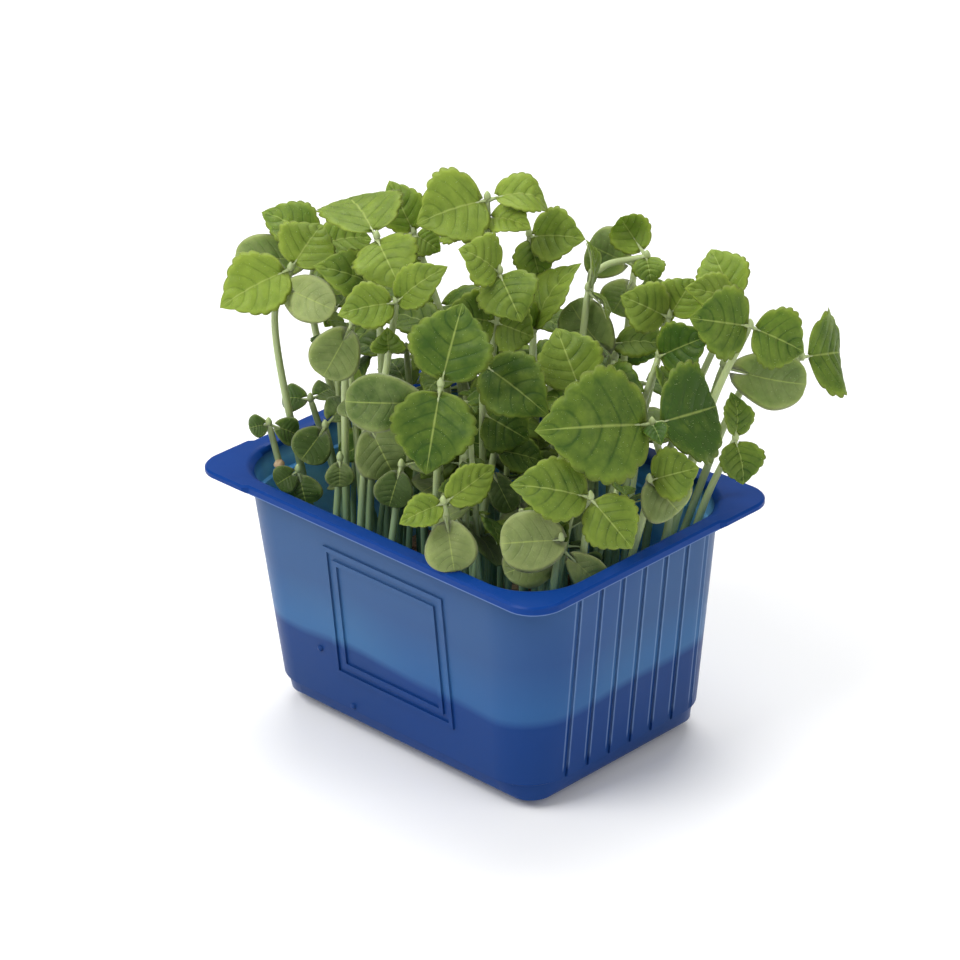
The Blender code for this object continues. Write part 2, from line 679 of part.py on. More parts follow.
def clearance_tree(grid, skip=0):
    """Search tree of the blade with its clearance on both faces."""
    points = [point for row in grid[skip:] for point in row]
    faces = sheet_faces(len(grid) - skip)
    reach = BLADE_THICKNESS / 2 + BLADE_CLEARANCE / 2
    normals = sheet_normals(points, faces)
    upper = [p + n * reach for p, n in zip(points, normals)]
    lower = [p - n * reach for p, n in zip(points, normals)]
    count = len(points)
    rows = len(grid) - skip
    left = [3 * r for r in range(rows)]
    right = [3 * r + 2 for r in reversed(range(rows))]
    rim = left + [3 * rows - 2] + right + [1]
    polygons = faces + [tuple(i + count for i in face) for face in faces]
    for i, a in enumerate(rim):
        b = rim[(i + 1) % len(rim)]
        polygons.append((a, b, b + count, a + count))
    return BVHTree.FromPolygons(upper + lower, polygons)


def stem_tree(path):
    """Search tree of a stem with its clearance, as a round tube."""
    reach = STEM_RADIUS + BLADE_CLEARANCE
    points, polygons = [], []
    for i, place in enumerate(path):
        ahead = (path[min(i + 1, len(path) - 1)] - path[max(i - 1, 0)]).normalized()
        side = ahead.orthogonal().normalized()
        over = ahead.cross(side)
        for k in range(6):
            angle = math.tau * k / 6
            points.append(place + (side * math.cos(angle) + over * math.sin(angle)) * reach)
    for i in range(len(path) - 1):
        for k in range(6):
            a, b = 6 * i + k, 6 * i + (k + 1) % 6
            polygons.append((a, b, b + 6, a + 6))
    return BVHTree.FromPolygons(points, polygons)


def solid_tree(obj):
    """Search tree of a finished object, in millimetres."""
    points = [vert.co / MM for vert in obj.data.vertices]
    return BVHTree.FromPolygons(points, [tuple(face.vertices) for face in obj.data.polygons])


def nudges():
    """Turns of a leaf about its foot, smallest first: degrees round, degrees up, size."""
    steps = [(turn, rise, size) for size in (1.0, 0.9, 0.8, 0.7)
             for turn in (0, -6, 6, -12, 12, -18, 18, -26, 26)
             for rise in (0, 6, -6, 12, -12, 18, -18)]
    return sorted(steps, key=lambda s: abs(s[0]) + abs(s[1]) + 60 * (1 - s[2]))


def nudged(leaf, base, tip, nudge):
    turn, rise, size = nudge
    reach = tip - base
    level_side = reach.cross(Vector((0, 0, 1)))
    if level_side.length < 0.001:
        level_side = Vector((1, 0, 0))
    reach = Matrix.Rotation(math.radians(rise), 3, level_side) @ reach
    reach = Matrix.Rotation(math.radians(turn), 3, "Z") @ reach
    return leaf._replace(width=leaf.width * size), base + reach * size


def leaf_base(path, leaf):
    """Point on the stem's centre line where a leaf starts."""
    lengths = [(b - a).length for a, b in zip(path[1:], path[2:])]
    rest = sum(lengths) * leaf.at
    for i, length in enumerate(lengths):
        if rest <= length or i == len(lengths) - 1:
            return path[i + 1].lerp(path[i + 2], min(rest / length, 0.97))
        rest -= length
    return path[-1]


def lay_leaves(plants, tray):
    """Place every leaf where it clears the tray and what other seedlings already hold."""
    stems = {name: stem_tree(plant["path"]) for name, plant in plants.items()}
    stems["tray"] = solid_tree(tray)
    blades = []
    for name, plant in plants.items():
        plant["grids"] = []
        for leaf, aim in zip(plant["leaves"], plant["tips"]):
            base = leaf_base(plant["path"], leaf)
            for nudge in nudges():
                shape, tip = nudged(leaf, base, aim, nudge)
                grid = blade_grid(shape, base, tip)
                whole = clearance_tree(grid)
                outer = clearance_tree(grid, 2)
                if any(whole.overlap(tree) for other, tree in stems.items() if other != name):
                    continue
                if any(outer.overlap(other_outer) if owner == name else whole.overlap(other)
                       for owner, other, other_outer in blades):
                    continue
                blades.append((name, whole, outer))
                plant["grids"].append(grid)
                break


def blade_object(name, grid, collection):
    bm = bmesh.new()
    verts = [bm.verts.new(point * MM) for row in grid for point in row]
    for face in sheet_faces(len(grid)):
        bm.faces.new([verts[i] for i in face])
    mesh = bpy.data.meshes.new(name)
    bm.to_mesh(mesh)
    bm.free()
    obj = bpy.data.objects.new(name, mesh)
    collection.objects.link(obj)
    solid = obj.modifiers.new("Thickness", "SOLIDIFY")
    solid.thickness = BLADE_THICKNESS * MM
    solid.offset = 0.0
    return obj


def back_places(taken, rng):
    """Free places of a loose grid over the back half of the mat."""
    places = []
    for row in range(BACK_ROWS):
        for column in range(BACK_COLUMNS):
            place = Vector((BACK_START[0] + BACK_PITCH[0] * column, BACK_START[1] + BACK_PITCH[1] * row))
            place += Vector((rng.uniform(-1, 1), rng.uniform(-1, 1)))
            in_corner = abs(place.x) > BACK_CORNER[0] and place.y > BACK_CORNER[1]
            if not in_corner and all((place - other).length > BACK_SPACING for other in taken + places):
                places.append(place)
    return places


def back_seedling(root, rng):
    """Seedling behind the ones that face the eye, with two pairs of leaves across each other."""
    away = (root - Vector(BACK_LEAN_FROM)).normalized() * rng.uniform(*BACK_LEAN)
    height = rng.uniform(*BACK_HEIGHT) - BACK_FALL * max(root.x, 0)
    path = stem_path(root, [], Vector((*(root + away), height)))
    heading = rng.uniform(0, math.pi)
    leaves, tips = [], []
    for pair, at in enumerate(BACK_PAIRS):
        for half in range(2):
            angle = heading + math.pi * half + math.pi / 2 * pair
            length = rng.uniform(*BACK_LEAF_LENGTH) - BACK_PAIR_LOSS * pair
            leaf = Leaf(at, None, length * BACK_LEAF_WIDTH, BACK_LEAF_LIFT)
            leaves.append(leaf)
            reach = Vector((math.cos(angle) * length, math.sin(angle) * length, BACK_LEAF_RISE))
            tips.append(leaf_base(path, leaf) + reach)
    return {"root": root, "path": path, "leaves": leaves, "tips": tips}


def plan_seedlings():
    """Path, leaves and tips of every seedling: the measured ones, then those behind them."""
    plants = {}
    for name, seedling in SEEDLINGS.items():
        path = stem_path(seedling.root, [seen(bend) for bend in seedling.bends], seen(seedling.top))
        plants[f"seedling_{name}"] = {
            "root": Vector(seedling.root), "path": path, "leaves": seedling.leaves,
            "tips": [seen(leaf.tip) for leaf in seedling.leaves]}
    rng = random.Random(RANDOM_SEED + 2)
    added = 0
    for place in back_places([plant["root"] for plant in plants.values()], rng):
        plant = back_seedling(place, rng)
        tree = stem_tree(plant["path"])
        clear = not any(tree.overlap(stem_tree(other["path"])) for other in plants.values())
        if clear and added < BACK_SEEDLINGS:
            added += 1
            plants[f"seedling_back_{added}"] = plant
    return plants


def build_seedlings(parts, tray):
    green = make_material("seedling_green", (0.13, 0.24, 0.04), 0.6)
    plants = plan_seedlings()
    lay_leaves(plants, tray)
    for name, plant in plants.items():
        stem = stem_object(name, plant["path"], parts)
        scrap = make_collection(f"{name}_leaves")
        for i, grid in enumerate(plant["grids"]):
            blade_object(f"{name}_leaf_{i}", grid, scrap)
        combine(stem, "UNION", scrap)
        shade(stem, green)
    return plants


def main():
    for obj in list(bpy.data.objects):
        bpy.data.objects.remove(obj, do_unlink=True)
    parts = make_collection("microgreens_tray")
    tray = build_tray(parts)
    plants = build_seedlings(parts, tray)
    build_mat(parts, [plant["root"] for plant in plants.values()])


main()
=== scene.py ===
"""Microgreens tray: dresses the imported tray, growing mat and seedlings for a picture.

The frame comes first. Then come the moulded tray, the fibre mat with its husks, every seedling with
its veined and toothed leaves, the fine hairs, and the stage. Metres and +Z up in the objects; the
named sizes here are millimetres, and MM turns them into metres.
"""
import functools
import json
import math
import random
from collections import namedtuple

import bmesh
import bpy
from bpy.props import FloatProperty, FloatVectorProperty, IntProperty, PointerProperty
from mathutils import Matrix, Vector, noise
from mathutils.bvhtree import BVHTree
from mathutils.kdtree import KDTree

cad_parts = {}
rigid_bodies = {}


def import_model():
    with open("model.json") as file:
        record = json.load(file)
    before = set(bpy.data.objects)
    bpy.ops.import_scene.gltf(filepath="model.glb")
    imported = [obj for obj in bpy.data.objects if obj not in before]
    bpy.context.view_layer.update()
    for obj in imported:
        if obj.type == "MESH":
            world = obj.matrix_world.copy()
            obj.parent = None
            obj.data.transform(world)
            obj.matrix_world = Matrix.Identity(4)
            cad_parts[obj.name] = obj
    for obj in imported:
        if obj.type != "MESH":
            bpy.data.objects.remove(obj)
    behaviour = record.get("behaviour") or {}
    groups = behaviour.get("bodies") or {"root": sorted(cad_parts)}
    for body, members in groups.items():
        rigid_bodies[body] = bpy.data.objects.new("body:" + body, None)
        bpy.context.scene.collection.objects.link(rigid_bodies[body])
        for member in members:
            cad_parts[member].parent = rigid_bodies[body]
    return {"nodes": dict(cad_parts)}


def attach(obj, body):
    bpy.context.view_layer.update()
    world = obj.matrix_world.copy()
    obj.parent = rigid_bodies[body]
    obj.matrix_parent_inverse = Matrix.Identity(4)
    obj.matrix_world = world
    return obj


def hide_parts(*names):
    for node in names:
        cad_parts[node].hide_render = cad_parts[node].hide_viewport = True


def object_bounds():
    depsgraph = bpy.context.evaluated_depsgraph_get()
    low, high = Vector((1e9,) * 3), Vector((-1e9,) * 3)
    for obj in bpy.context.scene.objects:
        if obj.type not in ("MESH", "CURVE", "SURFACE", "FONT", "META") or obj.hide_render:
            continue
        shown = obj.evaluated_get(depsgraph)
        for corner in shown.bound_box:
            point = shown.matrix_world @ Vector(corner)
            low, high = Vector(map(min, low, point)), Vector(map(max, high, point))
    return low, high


bl_info = {
    "name": "Microgreens tray",
    "version": (1, 0, 0),
    "blender": (4, 5, 0),
    "location": "View3D > Sidebar > Microgreens",
    "description": "Builds a blue tray of leafy seedlings on its packed frame",
    "category": "Object",
}

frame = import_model()
CAD_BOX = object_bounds()
MM = 0.001
CAD_TOP = CAD_BOX[1][2] / MM

# Tray
RIM_LENGTH = 96.0
RIM_WIDTH = 66.6
RIM_HEIGHT = 52.7
RIM_RADIUS = 7.0
FLANGE_THICKNESS = 0.9
LIP_DEPTH = 1.8
LIP_THICKNESS = 0.9
OPENING_INSET = 2.6
EAR_RADIUS = 6.0
EAR_BULGE = 0.9
EAR_REACH = 15.0
EAR_BEAD = 0.3
EAR_SLANT = 1.45
EAR_SPARE = 1.5
EAR_STEP = 1
WALL_TOP = (89.2, 59.8, 13.5)
WALL_FOOT = (77.4, 54.2, 10.0)
WALL_FOOT_HEIGHT = 6.4
WALL_THICKNESS = 0.8
LEDGE_HEIGHT = 46.4
LEDGE_DEPTH = 0.45
BAND_TOP = (75.8, 52.6, 9.0)
BAND_TOP_HEIGHT = 5.9
BAND_BOTTOM = (73.0, 49.0, 5.0)
BAND_EDGE_HEIGHT = 3.4
FOOT_OUTLINE = (68.0, 34.0, 4.0)
FOOT_HEIGHT = 2.1
FOOT_CHAMFER = 0.3
FLOOR_THICKNESS = 1.1
RECESS_MARGIN = 1.5
BAND_CHAMFER = 0.5
EDGE_CHAMFER = 0.4
OPENING_RADIUS = 13.7
OPENING_SLOPE = 1.0
WALL_FOOT_RISE = 1.0
FLOOR_INSET = 1.0
LEAST_RADIUS = 1.0
OPENING_ROUND = 1.4
SLOPE = 0.05
CORNER_STEPS = 16
EDGE_BEVEL = 0.2
SMOOTH_ANGLE = math.radians(32)

# Grooves of the short sides, frames and moulding marks of the long sides
GROOVES = 7
GROOVE_PITCH = 6.07
GROOVE_WIDTH = 1.2
GROOVE_DEPTH = 0.5
GROOVE_SHIFT = 1.0
GROOVE_LOW = 5.2
GROOVE_HIGH = 50.4
# Painted highlights along one edge of each groove
GROOVE_HIGHLIGHT = (0.08, 0.3)
GROOVE_HIGHLIGHT_OFFSET = 0.15
GROOVE_HIGHLIGHT_FOOT = (WALL_FOOT_HEIGHT + 1.5, WALL_FOOT_HEIGHT + 3.0)
GROOVE_HIGHLIGHT_SIDES = {"X": (WALL_FOOT[0] / 2 - 1.2, WALL_FOOT[0] / 2 - 0.8), "Y": (20.6, 20.4)}
FRAME_LENGTH = 34.0
FRAME_LOW = 14.0
FRAME_HIGH = 44.0
FRAME_SHIFT = 1.5
FRAME_LINE = 1.1
FRAME_GAP = 1.4
FRAME_RELIEF = 0.45
FRAME_SINK = 0.3
MOULD_MARKS = ((-19.9, 18.2), (-11.5, 7.5))
MOULD_MARK_RADIUS = 0.7

# Growing mat
MAT_TOP = 21.0
MAT_GAP = 0.35
MAT_ROUND = 0.9
MAT_FOOT_INSET = 1.6
MAT_FOOT_RISE = 1.2
MAT_VOXEL = 0.8
MAT_LUMPS = (180, 900)
STRAND_MARGIN = 4.0
STRAND_DEPTH = 3.0
STRAND_SLOPE = 0.4
HUSKS = 12
HUSK_RADIUS = 1.1
HUSK_SHAPE = (1.3, 1.0, 0.7)
HUSK_RISE = 0.2
HUSK_SPLIT = (0.25, 0.16)
HUSK_RIDGE = 0.06
HUSK_SPACING = 4.0
HUSK_AREA = (30.0, 20.0)
CAUGHT_HUSK_TURN = 1.1
CAUGHT_HUSKS = ((-2.9, -8.6), (-43.4, 0.6), (-45.4, 2.0))

# Heights where the plastic's colour changes, with painted shade where the mat backs the wall, painted light
# let through above it and a painted highlight at the rim's lower edge
WALL_RIPPLE = 1.2
MAT_SHADE_FADE = (MAT_TOP - 0.6, MAT_TOP + 1.4)
LIT_FADE = (MAT_TOP + 3.0, MAT_TOP + 13.0)
RIM_FADE = (RIM_HEIGHT - LIP_DEPTH - 0.6, RIM_HEIGHT - LIP_DEPTH - 0.1)
# Painted highlight along the rim's lower edge
LIP_HIGHLIGHT = (0.12, 0.26)
INSIDE_FADE = (RIM_HEIGHT - 4.0, RIM_HEIGHT - 1.0)
INSIDE_HEIGHTS = (6.3, RIM_HEIGHT - OPENING_ROUND)
INSIDE_GAP = 0.6

# Seedlings
STEM_RADIUS = 0.85
STEM_TAPER = 0.22
# Heights where the stems' painted shade inside the tray gives way to their pale colour
STEM_SHADE_FADE = (MAT_TOP + 4.0, RIM_HEIGHT + 8.0)
BUD_HEIGHTS = (-0.54, 0.0, 0.54, 1.08, 1.44)
BUD_RADII = (0.55, 0.75, 0.7, 0.45, 0.12)
STEM_SIDES = 10
STEM_RINGS = 28
STEM_STRAIGHT = 1.0
STEM_BEND = (0.25, 0.45)
STEM_PIECES = 5
STEM_TOP_SHARE = 0.97
STEM_TOP_TAPER = 0.75
STEM_SAMPLES = 40
FOOT_DEPTH = 7.4
STALK_SIDES = 8
BLADE_THICKNESS = 0.65
LEAF = "leaf"
SEED = "seed leaf"
STALK_SHARE = {LEAF: 0.13, SEED: 0.32}
FOLD = {LEAF: 0.18, SEED: 0.1}
SEED_ROWS = 4
SOLID_ROWS = ((18, 9), (15, 7), (0, 5))
TEETH = ((18, 8), (12, 7), (0, 6))
TOOTH_LEAN = 1.35
TOOTH_BLUNTNESS = 0.7
TOOTH_MIDDLE = 0.8
TOOTH_FADE = 8
SEED_ROUNDNESS = 0.85
LEAF_WIDEST = 0.72
LEAF_FULLNESS = (0.6, 0.4)
RANDOM_SEED = 7
COLUMNS = 14
ROWS_PER_TOOTH = 6
VEINS = 5
VEIN_SLOPE = 1.8
VEIN_CURVE = 1.3
FOLD_POWER = 1.3
QUILT_SHARE = {LEAF: 1.0, SEED: 0.5}
CREASE_WIDTH = 0.1
CREASE_DEPTH = 0.8
EDGE_WAVE = (0.02, 0.05)
EDGE_WAVE_TURN = 9
BLADE_FOOT = 0.45
BASE_LOBE = {LEAF: (0.10, 0.12), SEED: (0.22, 0.16)}
RIB_RINGS = 12
RIB_REACH = 0.93
RIB_SINK = 0.3
RIB_TAPER = 0.3
RIB_RADIUS = 0.58
RIB_TIP = 0.1
LEAF_MAP = "leaf_map"
TINT = "tint"
MATCH_LIMIT = 0.12
FOOT_LIMIT = 0.5
TINT_SPREAD = 0.15
# Tint rises with height: partly the paler young leaves, partly painted light on the higher ones
TINT_AND_LIGHT_BY_HEIGHT = (0.2, 0.5)
SKIN_DEPTH = (0.0012, 0.002, 0.0004)
STEM_SLOT, TOP_SLOT, UNDER_SLOT, SEED_SLOT = range(4)

# How pale a seedling's leaves are, where height alone doesn't say it: partly their youth, partly painted
# light on high, lit leaves and painted shade on low and shaded ones
YOUTH_AND_SHADE_TINTS = {"outer_left": 0.85, "crown": 0.75, "biggest": 0.12, "centre": 0.2, "small_pair": 0.5, "heart": 0.5,
         "front_pair": 0.5, "front_left": 0.55, "pair_right": 0.4, "centre_right": 0.15, "shaded": 0.05,
         "dark_right": 0.15, "disc_dark": 0.0, "low_left": 0.0, "rim_left": 0.0, "far_left": 0.0,
         "disc_left": 0.1, "disc_middle": 0.2, "disc_rim": 0.1, "front_seed_leaf": 0.6, "kidney": 0.4}

# Seedlings by rule over the back half of the mat
BACK_SEEDLINGS = 6
BACK_ROWS = 3
BACK_COLUMNS = 6
BACK_START = (-27.0, 8.0)
BACK_PITCH = (9.5, 7.0)
BACK_SPACING = 5.5
BACK_CORNER = (26.0, 20.0)
BACK_HEIGHT = (66.0, 80.0)
BACK_FALL = 0.25
BACK_LEAN = (4.0, 9.0)
BACK_LEAN_FROM = (4.0, -14.0)
BACK_LEAF_LENGTH = (13.0, 16.0)
BACK_LEAF_WIDTH = 0.72
BACK_LEAF_LIFT = 75
BACK_LEAF_RISE = 2.0
BACK_PAIRS = (1.0, 0.8)
BACK_PAIR_LOSS = 2.0

# Small seedlings between them
SMALL_TRIES = 5000
SMALL_LEAVES = 190
PICTURE_COLUMN = 3
PICTURE_MARGIN = 1.0
PICTURE_GAP = 1.8
GAP_LOW = 2.0
GAP_EDGE = 3.0
GAP_STEP = 2.0
GAP_SIZE = 2.1
GAP_NEAR = (-38.0, 14.0)
GAP_TRIES = 90
GAP_HEIGHTS = (RIM_HEIGHT + 8, CAD_TOP - 6)
PICTURE_SIDES = (-41.0, 46.0)
SMALL_SIZES = (1.0, 0.72, 0.5)
SMALL_DEPTH = 7.0
SMALL_INSIDE = (41.0, 27.0)
SMALL_AREA = (35.0, 23.0)
SMALL_SPACING = 2.1
SMALL_LEAN = 6.0
SMALL_OVERHANG = 15.0
SMALL_RIGHT = 27.0
SMALL_HEIGHT = (56.0, 102.0)
SMALL_LEAF_LENGTH = (9.5, 16.0)
SMALL_PAIRS = (1.0, 0.86, 0.72)
SMALL_REACH = (47.0, -33.0, 44.0)
SMALL_OVER_RIM = 2
SMALL_UNDER_TOP = 4
SMALL_AWAY = (-0.4, 1)
SMALL_TURNS = 0.3
SMALL_RISE = (-0.5, 0.4)
SMALL_FALL = 1.2
SMALL_LEAF_WIDTH = (0.74, 0.95)
SMALL_LEAF_LIFT = (35, 75)
SMALL_LEAF_TURN = 30
SMALL_LEAF_ARCH = 0.1
SMALL_LEAF_CLEARANCE = 0.7
SMALL_LEAF_SPACING = 1.5
SMALL_STEM_CLEARANCE = 0.3
SMALL_STEM_RADII = (0.75, 0.5)
SMALL_STEM_SIDES = 8
SMALL_STEM_SAMPLES = (20, 30)
SMALL_STEM_TOP = 4
SMALL_BLADE = (6, 4)
SMALL_TINT_AND_SHADE = (0.0, 0.5)

# The seedlings' points are measured as seen over the front corner: right, up and near, where near
# is the level distance from the tray's middle toward the eye. The camera looks the same way.
VIEW_TURN = math.radians(46.2)
VIEW_TILT = math.radians(26.8)
VIEW_ROLL = math.radians(-2.1)
VIEW_DISTANCE = 850.0
VIEW_TARGET = Vector((-8.0, 7.3, 47.1))
VIEW_LENS = 156.6
SENSOR_WIDTH = 36.0

# Name, turn from the eye, tilt over the level, distance and width of each light, degrees and metres
LIGHTS = (("key", -62, 48, 0.85, 0.5), ("fill", 48, 30, 0.9, 0.6), ("top", 170, 62, 0.8, 0.6))
FLOOR_DROP = 0.0002
FLOOR_SHADE = 0.985

# A seedling has its root on the mat (x, y), bends of its stem and its top as seen points, and leaves.
# A leaf has its place along the stem (1 is the top), its tip as a seen point, its width, the angle
# over the level that its face looks to, and how far that look is turned from the eye.
Seedling = namedtuple("Seedling", "root bends top leaves")
Leaf = namedtuple("Leaf", "at tip width lift turn kind stalk arch", defaults=(0, LEAF, None, 0.12))

SEEDLINGS = {
    "outer_left": Seedling((-35, -12), [(-41.5, 28.5, -18)], (-38.5, 43, -18), [
        Leaf(1, (-53, 35, -12), 14, 40),
        Leaf(1, (-32, 52, -27), 13, 35),
        Leaf(0.94, (-29.5, 34.5, -6), 9.5, 25, kind=SEED)]),
    "back_left": Seedling((-34, 4), [(-33.5, 30.5, -28)], (-33, 48, -30), [
        Leaf(1, (-44.5, 54.5, -33), 12, 60),
        Leaf(1, (-22, 49, -34), 11, 50),
        Leaf(0.95, (-51.5, 47, -27), 11, 30, kind=SEED),
        Leaf(0.9, (-26.5, 38, -14), 9, 30)]),
    "middle_left": Seedling((-22, -6), [], (-21, 49.5, -12), [
        Leaf(1, (-27.5, 57, -30), 18, 75),
        Leaf(1, (-16, 38.5, -1), 14, 30),
        Leaf(0.86, (-34, 43.5, -8), 11, 45)]),
    "small_pair": Seedling((-17, -17), [], (-17, 36.5, 5), [
        Leaf(1, (-6.5, 43.5, 8), 9, 40),
        Leaf(1, (-29, 33.5, 8), 10, 40),
        Leaf(0.84, (-19, 32.5, 10), 9, 20)]),
    "round_left": Seedling((-24, -16), [(-27.5, 18.5, -4)], (-26, 32, -4), [
        Leaf(1, (-32, 21, 2), 10.5, 15, kind=SEED)]),
    "crown_left": Seedling((-12, 16), [], (-13.5, 50.5, -38), [
        Leaf(1, (-18.5, 61, -42), 10, 25),
        Leaf(1, (-8, 46.5, -36), 7, 30),
        Leaf(0.92, (-21, 44.5, -34), 10, 40)]),
    "crown": Seedling((-4, 6), [], (1.5, 57.5, -15), [
        Leaf(1, (-13, 52, -9), 17, 40),
        Leaf(1, (14, 54.5, -18), 10, 60, arch=0.3),
        Leaf(0.95, (12.5, 53, -8), 11, 60),
        Leaf(0.93, (-8, 49.5, -22), 11, 60)]),
    "crown_right": Seedling((3, 13), [], (10, 50, -20), [
        Leaf(1, (21.5, 49, -16), 12, 40),
        Leaf(1, (13, 41, -14), 9, 20)]),
    "upper_middle": Seedling((2, -3), [], (4, 42.5, 0), [
        Leaf(1, (-4.5, 47, 2), 12, 50),
        Leaf(1, (8.5, 32, 8), 13, 25),
        Leaf(0.86, (11, 29, 2), 11, 30),
        Leaf(0.86, (-8, 33.5, 6), 12, 30)]),
    "centre": Seedling((2, -16), [], (-8, 19.5, 22), [
        Leaf(1, (-3.5, 36, 14), 17, 30),
        Leaf(1, (-11, 1, 30), 17, 30),
        Leaf(0.93, (-27.5, 16, 24), 11.5, 20, stalk=0.4, kind=SEED)]),
    "centre_right": Seedling((8, -8), [], (0.5, 24, 12), [
        Leaf(1, (14, 13, 20), 14, 35),
        Leaf(0.82, (10, 8, 14), 12, 30)]),
    "heart": Seedling((16, -3), [], (20.5, 18.5, 12), [
        Leaf(1, (15.5, 31, 6), 14, 25)]),
    "side_on": Seedling((6, 5), [], (11, 30.5, -10), [
        Leaf(1, (20, 45, -14), 11, 20, turn=-60),
        Leaf(1, (5, 37, -6), 10, 40)]),
    "edge_on": Seedling((14, 8), [], (22, 39, -6), [
        Leaf(1, (21.5, 49, -8), 10, 5, turn=80),
        Leaf(1, (26, 32.5, -2), 9, 10, turn=80)]),
    "underside": Seedling((20, 15), [], (27.5, 25, -6), [
        Leaf(1, (18, 35, -6), 11, -10, kind=SEED)]),
    "curled": Seedling((11, 14), [(22, 34.5, -12), (24.5, 43, -14)], (34, 45.5, -15), [
        Leaf(1, (28.5, 53.5, -15), 9, 20, arch=-0.5),
        Leaf(1, (35, 39.5, -10), 7, 30)]),
    "back_right": Seedling((16, 20.5), [(28, 10, -8)], (31.5, 44, -22), [
        Leaf(1, (22, 48, -24), 11, 20, kind=SEED),
        Leaf(0.96, (27, 34, -17), 9, 20, kind=SEED)]),
    "middle_right": Seedling((26, 9), [], (38.5, 33.5, -3), [
        Leaf(1, (28.5, 37.5, -3), 11, 30),
        Leaf(1, (43.5, 41, -8), 10, 30),
        Leaf(0.95, (33.5, 43.5, -12), 9, 45)]),
    "crinkled": Seedling((22.5, 21), [], (52, 36.5, 1), [
        Leaf(1, (41.5, 39, 5), 9, 45),
        Leaf(1, (47, 47, -8), 11, 30)]),
    "pair_right": Seedling((32, 12), [(46, 12, 12)], (55, 31.5, 10), [
        Leaf(1, (42.5, 33, 14), 15, 25),
        Leaf(1, (66, 26, 10), 13, 30)]),
    "dark_right": Seedling((27, 1), [], (36.5, 25.5, 4), [
        Leaf(1, (47, 29.5, 8), 11, 30),
        Leaf(0.97, (38.5, 13.5, 12), 6, 20, turn=50)]),
    "big_seed_leaf": Seedling((28, 23), [], (49.5, 23.5, 3), [
        Leaf(1, (66.5, 19.5, 8), 12, 10, kind=SEED)]),
    "edge_right": Seedling((29, 17), [(53, 18, 4)], (65.5, 25, 5), [
        Leaf(1, (73, 26, -8), 18, 15, turn=70),
        Leaf(0.98, (69, 16, 8), 8, 10, turn=60)]),
    "low_right": Seedling((33, 18), [(45, -6.5, 13)], (52, 8.5, 12), [
        Leaf(1, (51, 18, 7), 8, 20, turn=40),
        Leaf(1, (53.5, -1, 16), 10, 20, turn=20)]),
    "biggest": Seedling((34, 4), [(38.5, -8, 23)], (35, 11.5, 28), [
        Leaf(1, (11, 10, 36), 23, 30),
        Leaf(1, (49.5, 15.5, 12), 23, 25),
        Leaf(1, (37, 7, 35), 5, 40)]),
    "kidney": Seedling((34, -4), [(32.5, -10, 30)], (34.5, 0, 31), [
        Leaf(1, (40.5, -6.5, 32), 11, 25, stalk=0.15, kind=SEED),
        Leaf(1, (43.5, 4.5, 27), 11, 30)]),
    "front_pair": Seedling((35, -10), [(20.5, -20.5, 36)], (22.5, -3.5, 38), [
        Leaf(1, (6, -1, 40), 13, 40),
        Leaf(1, (31, -14, 42), 12, 30)]),
    "front_seed_leaf": Seedling((34, -18), [], (16.5, -12, 39), [
        Leaf(1, (4, -13, 41), 12, 30, stalk=0.12, kind=SEED),
        Leaf(0.95, (25, -20, 34), 7, 30, kind=SEED)]),
    "front_left": Seedling((19, -22), [], (-7.5, -4.5, 34), [
        Leaf(1, (-16.5, -9, 38), 7, 40),
        Leaf(1, (3, 3, 28), 8, 20),
        Leaf(0.93, (-5, -20, 40), 11.5, 15, kind=SEED)]),
    "low_left": Seedling((-33, -20), [], (-43, 11.5, -14), [
        Leaf(1, (-47, 10.5, -12), 5, 40, kind=SEED),
        Leaf(1, (-37.5, 9.5, -17), 6, 40, kind=SEED)]),
    "rim_left": Seedling((-27, -22), [], (-37, 2, -6), [
        Leaf(1, (-41.5, -1, -4), 6, 30, kind=SEED),
        Leaf(1, (-35, -5, -2), 8, 20, kind=SEED)]),
    "far_left": Seedling((-36, -4), [], (-34.5, 16.5, -22), [
        Leaf(1, (-41, 16.5, -22), 7, 50, kind=SEED),
        Leaf(1, (-29, 19, -27), 7, 50, kind=SEED)]),
    "disc_left": Seedling((-30, -9), [], (-31.5, 11, -12), [
        Leaf(1, (-36.5, 4, -6), 8.5, 20, kind=SEED),
        Leaf(1, (-26.5, 16, -20), 7, 50, kind=SEED)]),
    "disc_middle": Seedling((-14, -22), [], (-23, 12.5, 2), [
        Leaf(1, (-17.5, 1, 6), 12, 20, kind=SEED),
        Leaf(1, (-29, 16.5, -4), 8, 50, kind=SEED)]),
    "disc_rim": Seedling((-21, -22.5), [], (-28.5, 4.5, -1), [
        Leaf(1, (-28.5, -1.5, 2), 6, 20, kind=SEED)]),
    "disc_dark": Seedling((-6, -22), [], (-16, 3, 8), [
        Leaf(1, (-18.5, -5.5, 12), 8, 30, kind=SEED),
        Leaf(1, (-8, 5, 4), 8, 50, kind=SEED)]),
    "shaded": Seedling((11, -15), [], (3, 6.5, 14), [
        Leaf(1, (13, 3.5, 12), 8, 40),
        Leaf(1, (-2, 11, 8), 8, 50),
        Leaf(0.9, (6.5, -6.5, 20), 6, 30, kind=SEED)]),
}


# Picture plane to tray
def level(angle):
    return Vector((math.sin(angle), -math.cos(angle), 0.0))


@functools.cache
def view_axes():
    toward = level(VIEW_TURN) * math.cos(VIEW_TILT) + Vector((0, 0, math.sin(VIEW_TILT)))
    across = Vector((math.cos(VIEW_TURN), math.sin(VIEW_TURN), 0.0))
    upward = toward.cross(across)
    right = across * math.cos(VIEW_ROLL) + upward * math.sin(VIEW_ROLL)
    up = upward * math.cos(VIEW_ROLL) - across * math.sin(VIEW_ROLL)
    return toward, right, up


